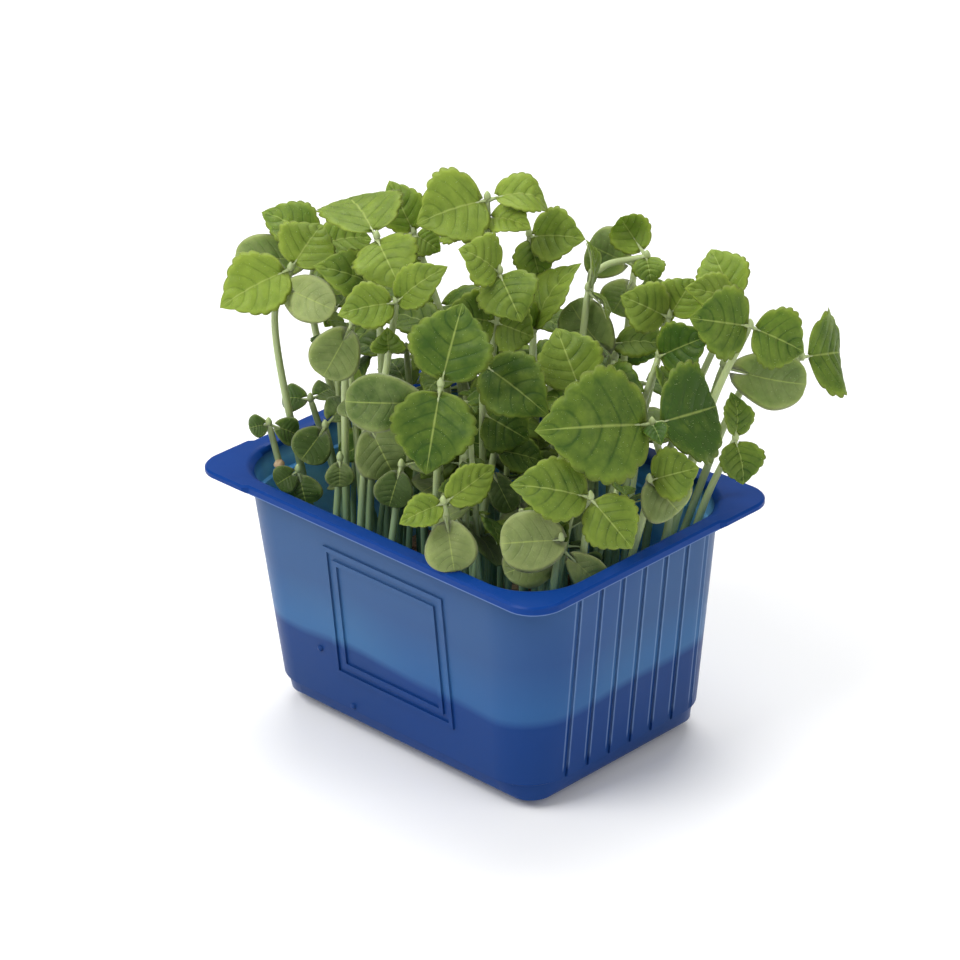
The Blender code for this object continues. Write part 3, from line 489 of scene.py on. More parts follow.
def seen(point):
    """Place in the tray's frame of a point given as right, up and near."""
    toward, right, up = view_axes()
    eye = VIEW_TARGET + toward * VIEW_DISTANCE
    ray = right * point[0] + up * point[1] - toward * VIEW_DISTANCE
    near_axis = level(VIEW_TURN)
    share = (point[2] - eye.dot(near_axis)) / ray.dot(near_axis)
    return eye + ray * share


# Objects and modifiers
def link_mesh(name, mesh, collection=None):
    obj = bpy.data.objects.new(name, mesh)
    (collection or bpy.context.scene.collection).objects.link(obj)
    return obj


def link_bmesh(name, bm, collection=None):
    bmesh.ops.recalc_face_normals(bm, faces=bm.faces)
    mesh = bpy.data.meshes.new(name)
    bm.to_mesh(mesh)
    bm.free()
    return link_mesh(name, mesh, collection)


def make_collection(name):
    collection = bpy.data.collections.new(name)
    bpy.context.scene.collection.children.link(collection)
    return collection


def apply_modifiers(obj):
    bpy.context.view_layer.update()
    graph = bpy.context.evaluated_depsgraph_get()
    mesh = bpy.data.meshes.new_from_object(obj.evaluated_get(graph))
    obj.modifiers.clear()
    obj.data = mesh


def combine(obj, operation, others):
    """Join a collection of solids to one object, or cut it out, with one Boolean."""
    boolean = obj.modifiers.new("Combine", "BOOLEAN")
    boolean.operation = operation
    boolean.operand_type = "COLLECTION"
    boolean.collection = others
    apply_modifiers(obj)
    for other in list(others.objects):
        bpy.data.objects.remove(other, do_unlink=True)
    bpy.data.collections.remove(others)


def dress(obj, material, slot, *nodes):
    """Give a piece its material and its place on the body, and let it stand for solids."""
    if material:
        obj.data.materials.clear()
        obj.data.materials.append(material)
    if nodes:
        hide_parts(*nodes)
    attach(obj, "root")


# Shader nodes
def fill_sockets(tree, node, inputs):
    """Set a node's sockets to values, or link them to sockets of other nodes."""
    for key, value in inputs.items():
        if isinstance(value, bpy.types.NodeSocket):
            tree.links.new(value, node.inputs[key])
        else:
            node.inputs[key].default_value = value


def add_node(tree, kind, inputs=None, **settings):
    new = tree.nodes.new(kind)
    for key, value in settings.items():
        setattr(new, key, value)
    fill_sockets(tree, new, inputs or {})
    return new


def calculate(tree, operation, first, second=0.0):
    return add_node(tree, "ShaderNodeMath", {0: first, 1: second}, operation=operation).outputs[0]


def ranged(tree, value, low, high, to_low=0.0, to_high=1.0):
    inputs = {"Value": value, "From Min": low, "From Max": high, "To Min": to_low, "To Max": to_high}
    return add_node(tree, "ShaderNodeMapRange", inputs).outputs["Result"]


def faded(tree, value, fade, to_low=0.0, to_high=1.0):
    """Share that changes between two places, which are given in millimetres."""
    return ranged(tree, value, fade[0] * MM, fade[1] * MM, to_low, to_high)


def blended(tree, share, first, second):
    ends = [value if isinstance(value, bpy.types.NodeSocket) else (*value, 1.0) for value in (first, second)]
    inputs = {"Factor": share, 6: ends[0], 7: ends[1]}
    return add_node(tree, "ShaderNodeMix", inputs, data_type="RGBA").outputs[2]


def object_place(tree):
    return add_node(tree, "ShaderNodeTexCoord").outputs["Object"]


def grain(tree, scale, detail=3.0, roughness=0.55):
    inputs = {"Vector": object_place(tree), "Scale": scale, "Detail": detail, "Roughness": roughness}
    return add_node(tree, "ShaderNodeTexNoise", inputs).outputs["Fac"]


def bumped(tree, height, strength, distance):
    inputs = {"Height": height, "Strength": strength, "Distance": distance}
    return add_node(tree, "ShaderNodeBump", inputs).outputs["Normal"]


def new_material(name, **values):
    """Principled material, its node tree and its shader, with plain sockets set by name."""
    material = bpy.data.materials.new(name)
    material.use_nodes = True
    tree = material.node_tree
    shader = tree.nodes["Principled BSDF"]
    fill_sockets(tree, shader, {key.replace("_", " "): value for key, value in values.items()})
    return material, tree, shader


def mottled_material(name, first, second, patches, spread, relief=None, **values):
    """Material that goes from one colour to another in soft patches, with a fine relief."""
    material, tree, shader = new_material(name, **values)
    share = ranged(tree, grain(tree, *patches), *spread)
    fill_sockets(tree, shader, {"Base Color": blended(tree, share, first, second)})
    if relief:
        scale, strength, depth = relief
        fill_sockets(tree, shader, {"Normal": bumped(tree, grain(tree, scale), strength, depth)})
    return material


def groove_highlights(tree, split):
    """Painted highlights: pale lines along one edge of each groove of the short sides."""
    shifted = calculate(tree, "SUBTRACT", split.outputs["Y"], GROOVE_SHIFT * MM)
    off = calculate(tree, "PINGPONG", shifted, GROOVE_PITCH / 2 * MM)
    edge = (GROOVE_WIDTH / 2 + GROOVE_HIGHLIGHT_OFFSET) * MM
    gap = calculate(tree, "ABSOLUTE", calculate(tree, "SUBTRACT", off, edge))
    line = faded(tree, gap, GROOVE_HIGHLIGHT, 1.0, 0.0)
    for axis, fade in GROOVE_HIGHLIGHT_SIDES.items():
        reach = calculate(tree, "ABSOLUTE", split.outputs[axis])
        line = calculate(tree, "MULTIPLY", line, faded(tree, reach, fade))
    return calculate(tree, "MULTIPLY", line, faded(tree, split.outputs["Z"], GROOVE_HIGHLIGHT_FOOT))


def plastic_material(options):
    """Satin blue plastic: deep in the rim, paler in the thin wall, with painted shade where the mat backs it,
    painted light let through just over the mat, and painted highlights along the groove edges and the rim's
    lower edge.
    """
    material, tree, shader = new_material(
        "blue_plastic", IOR=1.49, Transmission_Weight=options.clearness, Specular_IOR_Level=options.shine)
    split = add_node(tree, "ShaderNodeSeparateXYZ", {0: object_place(tree)})
    height = split.outputs["Z"]
    ripple = ranged(tree, grain(tree, 30.0, 1.0), 0.3, 0.7, -WALL_RIPPLE * MM, WALL_RIPPLE * MM)
    line = calculate(tree, "ADD", height, ripple)
    # Painted shade where the mat backs the wall, then painted light let through the wall just over the mat
    shade_and_light_band = blended(tree, faded(tree, line, MAT_SHADE_FADE), options.mat_shaded_colour, options.lit_colour)
    wall = blended(tree, faded(tree, line, LIT_FADE), shade_and_light_band, options.wall_colour)
    cloud = ranged(tree, grain(tree, 22.0, 1.0), 0.4, 0.65, 0.0, 0.35)
    clouded = blended(tree, cloud, wall, options.rim_colour)
    # Painted highlights along the groove edges
    edges = calculate(tree, "MULTIPLY", groove_highlights(tree, split), 0.3)
    with_groove_highlights = blended(tree, edges, clouded, options.highlight_colour)
    colour = blended(tree, faded(tree, height, RIM_FADE), with_groove_highlights, options.rim_colour)
    over_lip = calculate(tree, "SUBTRACT", height, (RIM_HEIGHT - LIP_DEPTH) * MM)
    # Painted highlight: a pale line along the rim's lower edge
    lip_highlight = faded(tree, calculate(tree, "ABSOLUTE", over_lip), LIP_HIGHLIGHT, 0.4, 0.0)
    fill_sockets(tree, shader, {
        "Base Color": blended(tree, lip_highlight, colour, options.highlight_colour),
        "Roughness": ranged(tree, grain(tree, 500.0), 0.3, 0.7, options.roughness, options.roughness + 0.08)})
    return material


def inner_material(options):
    """Inside of the wall, lit through from behind: pale above the mat and deeper towards the rim."""
    material, tree, shader = new_material("blue_plastic_inside", IOR=1.49, Roughness=0.3,
                                          Specular_IOR_Level=0.2)
    height = add_node(tree, "ShaderNodeSeparateXYZ", {0: object_place(tree)}).outputs["Z"]
    cloud = ranged(tree, grain(tree, 60.0, 2.0), 0.35, 0.65)
    glow = blended(tree, cloud, options.inside_colour, options.inside_pale_colour)
    fill_sockets(tree, shader, {
        "Base Color": blended(tree, faded(tree, height, INSIDE_FADE), glow, options.rim_colour),
        "Normal": bumped(tree, grain(tree, 260.0), 0.1, 0.0001)})
    return material


def fibre_material(options):
    material, tree, shader = new_material("brown_fibre", Roughness=0.95, Sheen_Weight=0.2)
    coarse = grain(tree, 160.0, 5.0, 0.7)
    fine = grain(tree, 1500.0, 4.0)
    base = blended(tree, ranged(tree, coarse, 0.35, 0.65), options.dark_colour, options.colour)
    colour = blended(tree, ranged(tree, fine, 0.5, 0.75, 0.0, 0.5), base, options.pale_colour)
    fill_sockets(tree, shader, {"Base Color": colour, "Normal": bumped(tree, fine, 0.7, 0.0004)})
    return material


def strand_material(options):
    return mottled_material("fibre_strands", options.colour, options.pale_colour, (420.0, 2.0), (0.3, 0.7),
                            (5000.0, 0.3, 0.00005), Roughness=0.85)


def husk_material(options):
    return mottled_material("seed_husk", options.husk_colour, options.pale_colour, (900.0, 4.0), (0.4, 0.65),
                            (2600.0, 0.5, 0.0001), Roughness=0.6)


def leaf_place(tree):
    """Share across a half of the leaf, 1 on its edge, and share along it, 1 at the tip."""
    place = add_node(tree, "ShaderNodeUVMap", uv_map=LEAF_MAP).outputs["UV"]
    split = add_node(tree, "ShaderNodeSeparateXYZ", {0: place})
    off_middle = calculate(tree, "ABSOLUTE", calculate(tree, "SUBTRACT", split.outputs["X"], 0.5))
    return calculate(tree, "MULTIPLY", off_middle, 2.0), split.outputs["Y"]


def side_vein_gap(tree):
    """Distance to the nearest side vein, as a part of the distance between two."""
    across, along = leaf_place(tree)
    curved = calculate(tree, "MULTIPLY", calculate(tree, "POWER", across, VEIN_CURVE), VEIN_SLOPE)
    lateral = calculate(tree, "SUBTRACT", calculate(tree, "MULTIPLY", along, float(VEINS)), curved)
    return calculate(tree, "PINGPONG", lateral, 0.5)


def rim_mask(tree):
    across, along = leaf_place(tree)
    return calculate(tree, "MAXIMUM", ranged(tree, across, 0.72, 1.0), ranged(tree, along, 0.86, 1.0))


def crease_mask(tree):
    """How near a point is to a side vein, which lies sunk in the blade."""
    across, _ = leaf_place(tree)
    thin = ranged(tree, side_vein_gap(tree), 0.005, 0.11, 1.0, 0.0)
    return calculate(tree, "MULTIPLY", thin, ranged(tree, across, 0.35, 0.95, 1.0, 0.0))


def leaf_material(name, dark, light, vein, crease, rim_share, **values):
    """Leaf skin: a tint for each leaf, partly its own paleness and partly painted light and shade; mottling,
    paler rim and midrib, side veins with painted shade in their creases, and fine cells.
    """
    material, tree, shader = new_material(name, Subsurface_Radius=SKIN_DEPTH, Subsurface_Scale=1.0, **values)
    across, _ = leaf_place(tree)
    creases = crease_mask(tree)
    tint = add_node(tree, "ShaderNodeAttribute", attribute_name=TINT).outputs["Fac"]
    mottle = ranged(tree, grain(tree, 260.0, 5.0, 0.65), 0.3, 0.7, -0.22, 0.22)
    rim = calculate(tree, "MULTIPLY", rim_mask(tree), rim_share)
    share = calculate(tree, "ADD", calculate(tree, "ADD", tint, mottle), rim)
    # Painted shade in the creases along the side veins; a negative strength makes the veins paler instead, as
    # on the underside
    sunk = calculate(tree, "SUBTRACT", share, calculate(tree, "MULTIPLY", creases, crease))
    midrib = ranged(tree, across, 0.006, 0.035, 0.6, 0.0)
    cells = add_node(tree, "ShaderNodeTexVoronoi", {"Vector": object_place(tree), "Scale": 2600.0})
    relief = calculate(tree, "MULTIPLY", cells.outputs["Distance"], 0.35)
    height = calculate(tree, "SUBTRACT", relief, creases)
    fill_sockets(tree, shader, {
        "Base Color": blended(tree, midrib, blended(tree, sunk, dark, light), vein),
        "Normal": bumped(tree, height, 0.4, 0.0002),
        "Roughness": ranged(tree, grain(tree, 700.0), 0.3, 0.7, 0.42, 0.62)})
    return material


def stem_material(options):
    """Stem skin: teal-green at the foot inside the tray, which is painted shade and blue light let through
    the wall, pale above, with fine lengthwise streaks.
    """
    material, tree, shader = new_material("stem_skin", Roughness=0.4, Subsurface_Weight=0.2,
                                          Subsurface_Radius=(0.001, 0.0012, 0.0004), Subsurface_Scale=1.0)
    height = add_node(tree, "ShaderNodeSeparateXYZ", {0: object_place(tree)}).outputs["Z"]
    stretch = add_node(tree, "ShaderNodeMapping", {"Vector": object_place(tree), "Scale": (1.0, 1.0, 0.08)})
    noises = add_node(tree, "ShaderNodeTexNoise", {"Vector": stretch.outputs[0], "Scale": 2400.0})
    streaks = noises.outputs["Fac"]
    # Painted shade and blue light through the wall on the stems inside the tray
    base = blended(tree, faded(tree, height, STEM_SHADE_FADE), options.stem_shaded_foot_colour, options.stem_colour)
    colour = blended(tree, ranged(tree, streaks, 0.45, 0.7, 0.0, 0.35), base, options.vein_colour)
    fill_sockets(tree, shader, {"Base Color": colour, "Normal": bumped(tree, streaks, 0.25, 0.00008)})
    return material


def hair_material(options):
    return mottled_material("leaf_hair", options.hair_colour, options.vein_colour, (300.0,), (0.3, 0.7),
                            Roughness=0.5, Transmission_Weight=0.2)


# Geometry node trees
def new_tree(name, *inputs):
    """Geometry tree with named inputs, as label, socket kind and default."""
    tree = bpy.data.node_groups.new(name, "GeometryNodeTree")
    tree.interface.new_socket("Geometry", in_out="INPUT", socket_type="NodeSocketGeometry")
    for label, kind, default in inputs:
        tree.interface.new_socket(label, in_out="INPUT", socket_type=kind).default_value = default
    tree.interface.new_socket("Geometry", in_out="OUTPUT", socket_type="NodeSocketGeometry")
    return tree, tree.nodes.new("NodeGroupInput")


def close_tree(tree, geometry, material):
    """Realize the instances, give them their material and end the tree."""
    real = add_node(tree, "GeometryNodeRealizeInstances", {0: geometry})
    painted = add_node(tree, "GeometryNodeSetMaterial", {"Geometry": real.outputs[0]})
    painted.inputs["Material"].default_value = material
    end = tree.nodes.new("NodeGroupOutput")
    tree.links.new(painted.outputs[0], end.inputs[0])
    return tree


def grow(obj, tree, **values):
    """Run a geometry tree on an object and keep the result as a plain mesh."""
    modifier = obj.modifiers.new(tree.name, "NODES")
    modifier.node_group = tree
    for item in tree.interface.items_tree:
        key = item.name.replace(" ", "_").lower()
        if item.in_out == "INPUT" and key in values:
            modifier[item.identifier] = values[key]
    apply_modifiers(obj)


def groove_tree(material):
    """Row of upright bars along Y, as cutters for the grooves."""
    tree, start = new_tree("Groove bars", ("Count", "NodeSocketInt", GROOVES),
                           ("Pitch", "NodeSocketFloat", GROOVE_PITCH * MM),
                           ("Bar", "NodeSocketVector", (MM, MM, MM)))
    step = add_node(tree, "ShaderNodeCombineXYZ", {"Y": start.outputs["Pitch"]})
    line = add_node(tree, "GeometryNodeMeshLine", {
        "Count": start.outputs["Count"], "Offset": step.outputs[0]})
    bar = add_node(tree, "GeometryNodeMeshCube", {"Size": start.outputs["Bar"]})
    bars = add_node(tree, "GeometryNodeInstanceOnPoints", {
        "Points": line.outputs[0], "Instance": bar.outputs[0]})
    return close_tree(tree, bars.outputs[0], material)


def scatter_tree(name, shape_of, material, upright):
    """Scatter a small shape over a surface, standing on it or turned at random."""
    tree, start = new_tree(name, ("Density", "NodeSocketFloat", 1.0), ("Size", "NodeSocketFloat", MM),
                           ("Seed", "NodeSocketInt", RANDOM_SEED))
    points = add_node(tree, "GeometryNodeDistributePointsOnFaces", {
        "Mesh": start.outputs[0], "Density": start.outputs["Density"], "Seed": start.outputs["Seed"]})
    scale = add_node(tree, "FunctionNodeRandomValue", {2: 0.55, 3: 1.2}, data_type="FLOAT")
    size = calculate(tree, "MULTIPLY", scale.outputs[1], start.outputs["Size"])
    turn = add_node(tree, "FunctionNodeRandomValue", {0: (-0.45, -0.45, 0.0), 1: (0.45, 0.45, math.tau)},
                    data_type="FLOAT_VECTOR")
    euler = add_node(tree, "FunctionNodeEulerToRotation", {0: turn.outputs[0]})
    lean = add_node(tree, "FunctionNodeRotateRotation", {
        0: points.outputs["Rotation"], 1: euler.outputs[0]}, rotation_space="LOCAL")
    rotation = lean if upright else euler
    copies = add_node(tree, "GeometryNodeInstanceOnPoints", {
        "Points": points.outputs["Points"], "Instance": shape_of(tree),
        "Rotation": rotation.outputs[0], "Scale": size})
    return close_tree(tree, copies.outputs[0], material)


def hair_shape(tree):
    """Slim cone one unit long."""
    return add_node(tree, "GeometryNodeMeshCone", {
        "Vertices": 3, "Radius Top": 0.0, "Radius Bottom": 0.09, "Depth": 1.0}).outputs[0]


def strand_shape(tree):
    """Bent fibre one unit long."""
    bow = add_node(tree, "GeometryNodeCurveQuadraticBezier", {
        "Resolution": 5, "Start": (-0.5, 0.0, 0.0), "Middle": (0.0, 0.22, 0.16), "End": (0.5, 0.0, 0.02)})
    edge = add_node(tree, "GeometryNodeCurvePrimitiveCircle", {"Resolution": 3, "Radius": 0.022})
    return add_node(tree, "GeometryNodeCurveToMesh", {
        0: bow.outputs[0], 1: edge.outputs[0], "Fill Caps": True}).outputs[0]


# Outlines of the tray
def corner_outline(size, z, radii=None, bulges=(0, 0, 0, 0), ear_z=None, reach=EAR_REACH):
    """Rounded rectangle, with two points before and two after each corner for the ears."""
    length, width, radius = size
    radii = radii or (radius,) * 4
    reach = min(reach, width / 2 - EAR_SPARE)
    points = []
    for i, (sx, sy) in enumerate(((-1, -1), (1, -1), (1, 1), (-1, 1))):
        bulge, r = bulges[i], radii[i]
        corner_z = ear_z if bulge and ear_z is not None else z
        x, y = sx * length / 2, sy * width / 2
        on_end = (Vector((x, y - sy * reach, z)),
                  Vector((x + sx * bulge, y - sy * (reach - EAR_STEP), corner_z)))
        on_side = (Vector((x - sx * reach, y, z)),
                   Vector((x - sx * (reach - EAR_STEP), y + sy * bulge, corner_z)))
        before, after = (on_end, on_side[::-1]) if sx == sy else (on_side, on_end[::-1])
        centre = Vector((x + sx * (bulge - r), y + sy * (bulge - r), corner_z))
        start = math.radians(180 + 90 * i)
        points.extend(before)
        for k in range(CORNER_STEPS + 1):
            angle = start + math.radians(90) * k / CORNER_STEPS
            points.append(centre + Vector((math.cos(angle), math.sin(angle), 0)) * r)
        points.extend(after)
    return points


def plain_outline(size, z, inset=0.0):
    length, width, radius = size
    return corner_outline((length - 2 * inset, width - 2 * inset, max(radius - inset, LEAST_RADIUS)), z)


def wall_size(z):
    share = (z - WALL_FOOT_HEIGHT) / (RIM_HEIGHT - FLANGE_THICKNESS - WALL_FOOT_HEIGHT)
    return tuple(a + (b - a) * share for a, b in zip(WALL_FOOT, WALL_TOP))


def wall_outline(z, inset=0.0):
    return plain_outline(wall_size(z), z, inset)


def flange_outline(inset, z, ear_z=None):
    """Flange outline: ears at two opposite corners, plain round corners at the other two."""
    radii = (EAR_RADIUS - inset, RIM_RADIUS - inset, EAR_RADIUS - inset, RIM_RADIUS - inset)
    size = (RIM_LENGTH - 2 * inset, RIM_WIDTH - 2 * inset, RIM_RADIUS)
    reach = EAR_REACH - EAR_SLANT * inset
    return corner_outline(size, z, radii, (EAR_BULGE, 0, EAR_BULGE, 0), ear_z, reach)


def loft(rings):
    """Closed body through rings of points, capped at the first and the last."""
    bm = bmesh.new()
    loops = [[bm.verts.new(point * MM) for point in ring] for ring in rings]
    count = len(loops[0])
    for lower, upper in zip(loops, loops[1:]):
        for i in range(count):
            j = (i + 1) % count
            bm.faces.new((lower[i], lower[j], upper[j], upper[i]))
    bm.faces.new(loops[0])
    bm.faces.new(loops[-1])
    return bm


# Tray
def tray_rings():
    underside = RIM_HEIGHT - FLANGE_THICKNESS
    lip_z = RIM_HEIGHT - LIP_DEPTH
    ear_z = underside - EAR_BEAD
    floor_z = FOOT_HEIGHT + FLOOR_THICKNESS
    opening = (RIM_LENGTH - 2 * OPENING_INSET, RIM_WIDTH - 2 * OPENING_INSET, OPENING_RADIUS)
    thick = WALL_THICKNESS + LEDGE_DEPTH
    foot_length, foot_width, foot_radius = FOOT_OUTLINE
    recess = (foot_length - 2 * RECESS_MARGIN, foot_width - 2 * RECESS_MARGIN, foot_radius - RECESS_MARGIN)
    return [
        plain_outline(FOOT_OUTLINE, 0.0, FOOT_CHAMFER),
        plain_outline(FOOT_OUTLINE, FOOT_HEIGHT),
        plain_outline(BAND_BOTTOM, FOOT_HEIGHT + SLOPE),
        plain_outline(BAND_TOP, BAND_EDGE_HEIGHT, BAND_CHAMFER),
        plain_outline(BAND_TOP, BAND_TOP_HEIGHT),
        wall_outline(WALL_FOOT_HEIGHT),
        wall_outline(underside),
        flange_outline(LIP_THICKNESS, underside),
        flange_outline(LIP_THICKNESS, lip_z, ear_z),
        flange_outline(0.0, lip_z, ear_z),
        flange_outline(0.0, RIM_HEIGHT - EDGE_CHAMFER),
        flange_outline(EDGE_CHAMFER, RIM_HEIGHT),
        plain_outline(opening, RIM_HEIGHT),
        plain_outline(opening, RIM_HEIGHT - EDGE_CHAMFER, OPENING_SLOPE),
        wall_outline(RIM_HEIGHT - OPENING_ROUND, WALL_THICKNESS),
        wall_outline(LEDGE_HEIGHT, WALL_THICKNESS),
        wall_outline(LEDGE_HEIGHT - LEDGE_DEPTH, thick),
        wall_outline(WALL_FOOT_HEIGHT + WALL_FOOT_RISE, thick),
        plain_outline(BAND_TOP, BAND_TOP_HEIGHT - EDGE_CHAMFER, thick),
        plain_outline(BAND_BOTTOM, floor_z, FLOOR_INSET),
        plain_outline(recess, floor_z - SLOPE),
        plain_outline(recess, FLOOR_THICKNESS, BAND_CHAMFER)]


def wall_lean(axis):
    """How far a wall moves out for each millimetre of height."""
    rise = RIM_HEIGHT - FLANGE_THICKNESS - WALL_FOOT_HEIGHT
    return (WALL_TOP[axis] - WALL_FOOT[axis]) / 2 / rise


def groove_cutters(material, collection):
    """Row of bars on each short side, leaning as the wall leans."""
    middle = (GROOVE_LOW + GROOVE_HIGH) / 2
    bar = (2 * GROOVE_DEPTH * MM, GROOVE_WIDTH * MM, (GROOVE_HIGH - GROOVE_LOW) * MM)
    tree = groove_tree(material)
    for side in (-1, 1):
        row = link_mesh(f"grooves_{side}", bpy.data.meshes.new("grooves"), collection)
        grow(row, tree, bar=bar)
        first = side * GROOVE_SHIFT - (GROOVES - 1) / 2 * GROOVE_PITCH
        foot = Vector((side * wall_size(middle)[0] / 2, first, middle)) * MM
        for vert in row.data.vertices:
            vert.co += Vector((side * wall_lean(0) * vert.co.z, 0, 0)) + foot


def frame_corners(inset):
    half = FRAME_LENGTH / 2 - inset
    low, high = FRAME_LOW + inset, FRAME_HIGH - inset
    return [(-half, low), (half, low), (half, high), (-half, high)]


def frame_body(inset, side):
    """Rectangular outline that stands out of a long side and is sunk a little into it."""
    bm = bmesh.new()
    layers = []
    for out in (-FRAME_SINK, FRAME_RELIEF):
        for edge in (inset, inset + FRAME_LINE):
            layers.append([
                bm.verts.new(Vector((x - side * FRAME_SHIFT, side * (wall_size(z)[1] / 2 + out), z)) * MM)
                for x, z in frame_corners(edge)])
    back_out, back_in, top_out, top_in = layers
    for i in range(4):
        j = (i + 1) % 4
        bm.faces.new((top_out[i], top_out[j], top_in[j], top_in[i]))
        bm.faces.new((back_out[j], back_out[i], back_in[i], back_in[j]))
        bm.faces.new((back_out[i], back_out[j], top_out[j], top_out[i]))
        bm.faces.new((back_in[j], back_in[i], top_in[i], top_in[j]))
    return bm


def wall_marks(collection):
    """Frames of both long sides, and the small moulding marks of the near one."""
    for side in (-1, 1):
        for ring in range(2):
            link_bmesh(f"frame_{ring}_{side}", frame_body(ring * (FRAME_LINE + FRAME_GAP), side), collection)
    for i, (x, z) in enumerate(MOULD_MARKS):
        bm = bmesh.new()
        bmesh.ops.create_uvsphere(bm, u_segments=12, v_segments=8, radius=MOULD_MARK_RADIUS * MM)
        bmesh.ops.translate(bm, vec=Vector((x, -wall_size(z)[1] / 2, z)) * MM, verts=bm.verts)
        link_bmesh(f"mark_{i}", bm, collection)


def on_inner_wall(face):
    """Whether a face lies on the wall's inner side and not in a groove or on a frame."""
    length, width, _ = wall_size(face.center.z / MM)
    gap_x = length / 2 - abs(face.center.x) / MM
    gap_y = width / 2 - abs(face.center.y) / MM
    inward = face.normal.x * face.center.x + face.normal.y * face.center.y < 0
    low, high = INSIDE_HEIGHTS
    return inward and low * MM < face.center.z < high * MM and min(gap_x, gap_y) > INSIDE_GAP


def build_tray(options):
    plastic = plastic_material(options)
    tray = link_bmesh("moulded_tray", loft(tray_rings()))
    cutters = make_collection("groove_cutters")
    groove_cutters(plastic, cutters)
    combine(tray, "DIFFERENCE", cutters)
    marks = make_collection("wall_marks")
    wall_marks(marks)
    combine(tray, "UNION", marks)
    bevel = tray.modifiers.new("Soft edges", "BEVEL")
    bevel.width = options.edge_radius
    bevel.segments = 2
    bevel.limit_method = "ANGLE"
    bevel.angle_limit = SMOOTH_ANGLE
    apply_modifiers(tray)
    tray.data.shade_smooth()
    tray.data.set_sharp_from_angle(angle=SMOOTH_ANGLE)
    flat = tray.modifiers.new("Flat walls", "WEIGHTED_NORMAL")
    flat.keep_sharp = True
    flat.weight = 100
    apply_modifiers(tray)
    dress(tray, plastic, "tray_plastic", "tray")
    tray.data.materials.append(inner_material(options))
    for face in tray.data.polygons:
        if on_inner_wall(face):
            face.material_index = 1


# Growing mat
def mat_rings():
    thick = WALL_THICKNESS + LEDGE_DEPTH + MAT_GAP
    base_z = FOOT_HEIGHT + FLOOR_THICKNESS + MAT_GAP
    return [
        plain_outline(BAND_BOTTOM, base_z, MAT_FOOT_INSET),
        plain_outline(BAND_TOP, BAND_TOP_HEIGHT - EDGE_CHAMFER, thick),
        wall_outline(WALL_FOOT_HEIGHT + MAT_FOOT_RISE, thick),
        wall_outline(MAT_TOP - MAT_ROUND, thick),
        wall_outline(MAT_TOP, thick + MAT_ROUND)]


def rough_mat(options):
    """Body of the mat with an uneven, pitted top."""
    mat = link_bmesh("fibre_mat", loft(mat_rings()))
    voxels = mat.modifiers.new("Even faces", "REMESH")
    voxels.mode = "VOXEL"
    voxels.voxel_size = MAT_VOXEL * MM
    apply_modifiers(mat)
    coarse, fine = MAT_LUMPS
    for vert in mat.data.vertices:
        if vert.co.z > (MAT_TOP - 2 * MAT_ROUND) * MM:
            lumps = noise.fractal(vert.co * coarse, 1.0, 2.0, 4) + 0.5 * noise.noise(vert.co * fine)
            vert.co.z += (lumps * 0.5 - 0.5) * options.roughness
    mat.data.shade_smooth()
    return mat


def husk_places(roots):
    rng = random.Random(RANDOM_SEED)
    across, along = HUSK_AREA
    places = []
    while len(places) < HUSKS:
        place = Vector((rng.uniform(-across, across), rng.uniform(-along, along)))
        if all((place - other).length > HUSK_SPACING for other in roots + places):
            places.append(place)
    return places


def husk_body(turn, place):
    """Seed husk: a flattened shell with a keel and a split along it."""
    bm = bmesh.new()
    bmesh.ops.create_uvsphere(bm, u_segments=20, v_segments=12, radius=HUSK_RADIUS * MM)
    width, depth = HUSK_SPLIT
    for vert in bm.verts:
        angle = math.atan2(vert.co.y, vert.co.z)
        split = math.exp(-(angle / width) ** 2)
        vert.co *= 1.0 - depth * split + HUSK_RIDGE * math.cos(3 * angle)
    bmesh.ops.scale(bm, vec=HUSK_SHAPE, verts=bm.verts)
    bmesh.ops.transform(bm, matrix=Matrix.Rotation(turn, 4, "Z"), verts=bm.verts)
    bmesh.ops.translate(bm, vec=place * MM, verts=bm.verts)
    return bm


def join(name, objects):
    """One mesh object from several, whose own objects go."""
    bm = bmesh.new()
    for obj in objects:
        bm.from_mesh(obj.data)
        bpy.data.objects.remove(obj, do_unlink=True)
    mesh = bpy.data.meshes.new(name)
    bm.to_mesh(mesh)
    bm.free()
    return link_mesh(name, mesh)


def caught_husks(plants, start):
    """Husks that cling to the stems nearest to given places of the picture plane."""
    toward = view_axes()[0]
    spots = [point for plant in plants.values() for point in stem_path(plant["curve"], STEM_SAMPLES)]
    husks = []
    for i, place in enumerate(CAUGHT_HUSKS):
        spot = min(spots, key=lambda point: (picture_place(point).xy - Vector(place)).length)
        body = husk_body(CAUGHT_HUSK_TURN * i, spot + toward * (STEM_RADIUS + HUSK_RADIUS / 2))
        husks.append(link_bmesh(f"husk_{start + i}", body))
    return husks


def loose_strands(mat, options):
    """Bent fibres that lie on the top of the mat."""
    strands = link_mesh("mat_strands", mat.data.copy())
    top = bmesh.new()
    top.from_mesh(strands.data)
    reach = [side / 2 - STRAND_MARGIN for side in wall_size(MAT_TOP)[:2]]
    buried = [face for face in top.faces
              if face.normal.z < STRAND_SLOPE or face.calc_center_median().z < (MAT_TOP - STRAND_DEPTH) * MM
              or any(abs(place) > side * MM for place, side in zip(face.calc_center_median(), reach))]
    bmesh.ops.delete(top, geom=buried, context="FACES")
    top.to_mesh(strands.data)
    top.free()
    tree = scatter_tree("Strands", strand_shape, strand_material(options), False)
    area = (WALL_FOOT[0] * WALL_FOOT[1]) * MM * MM
    grow(strands, tree, density=options.strands / area, size=options.strand_length)
    return strands


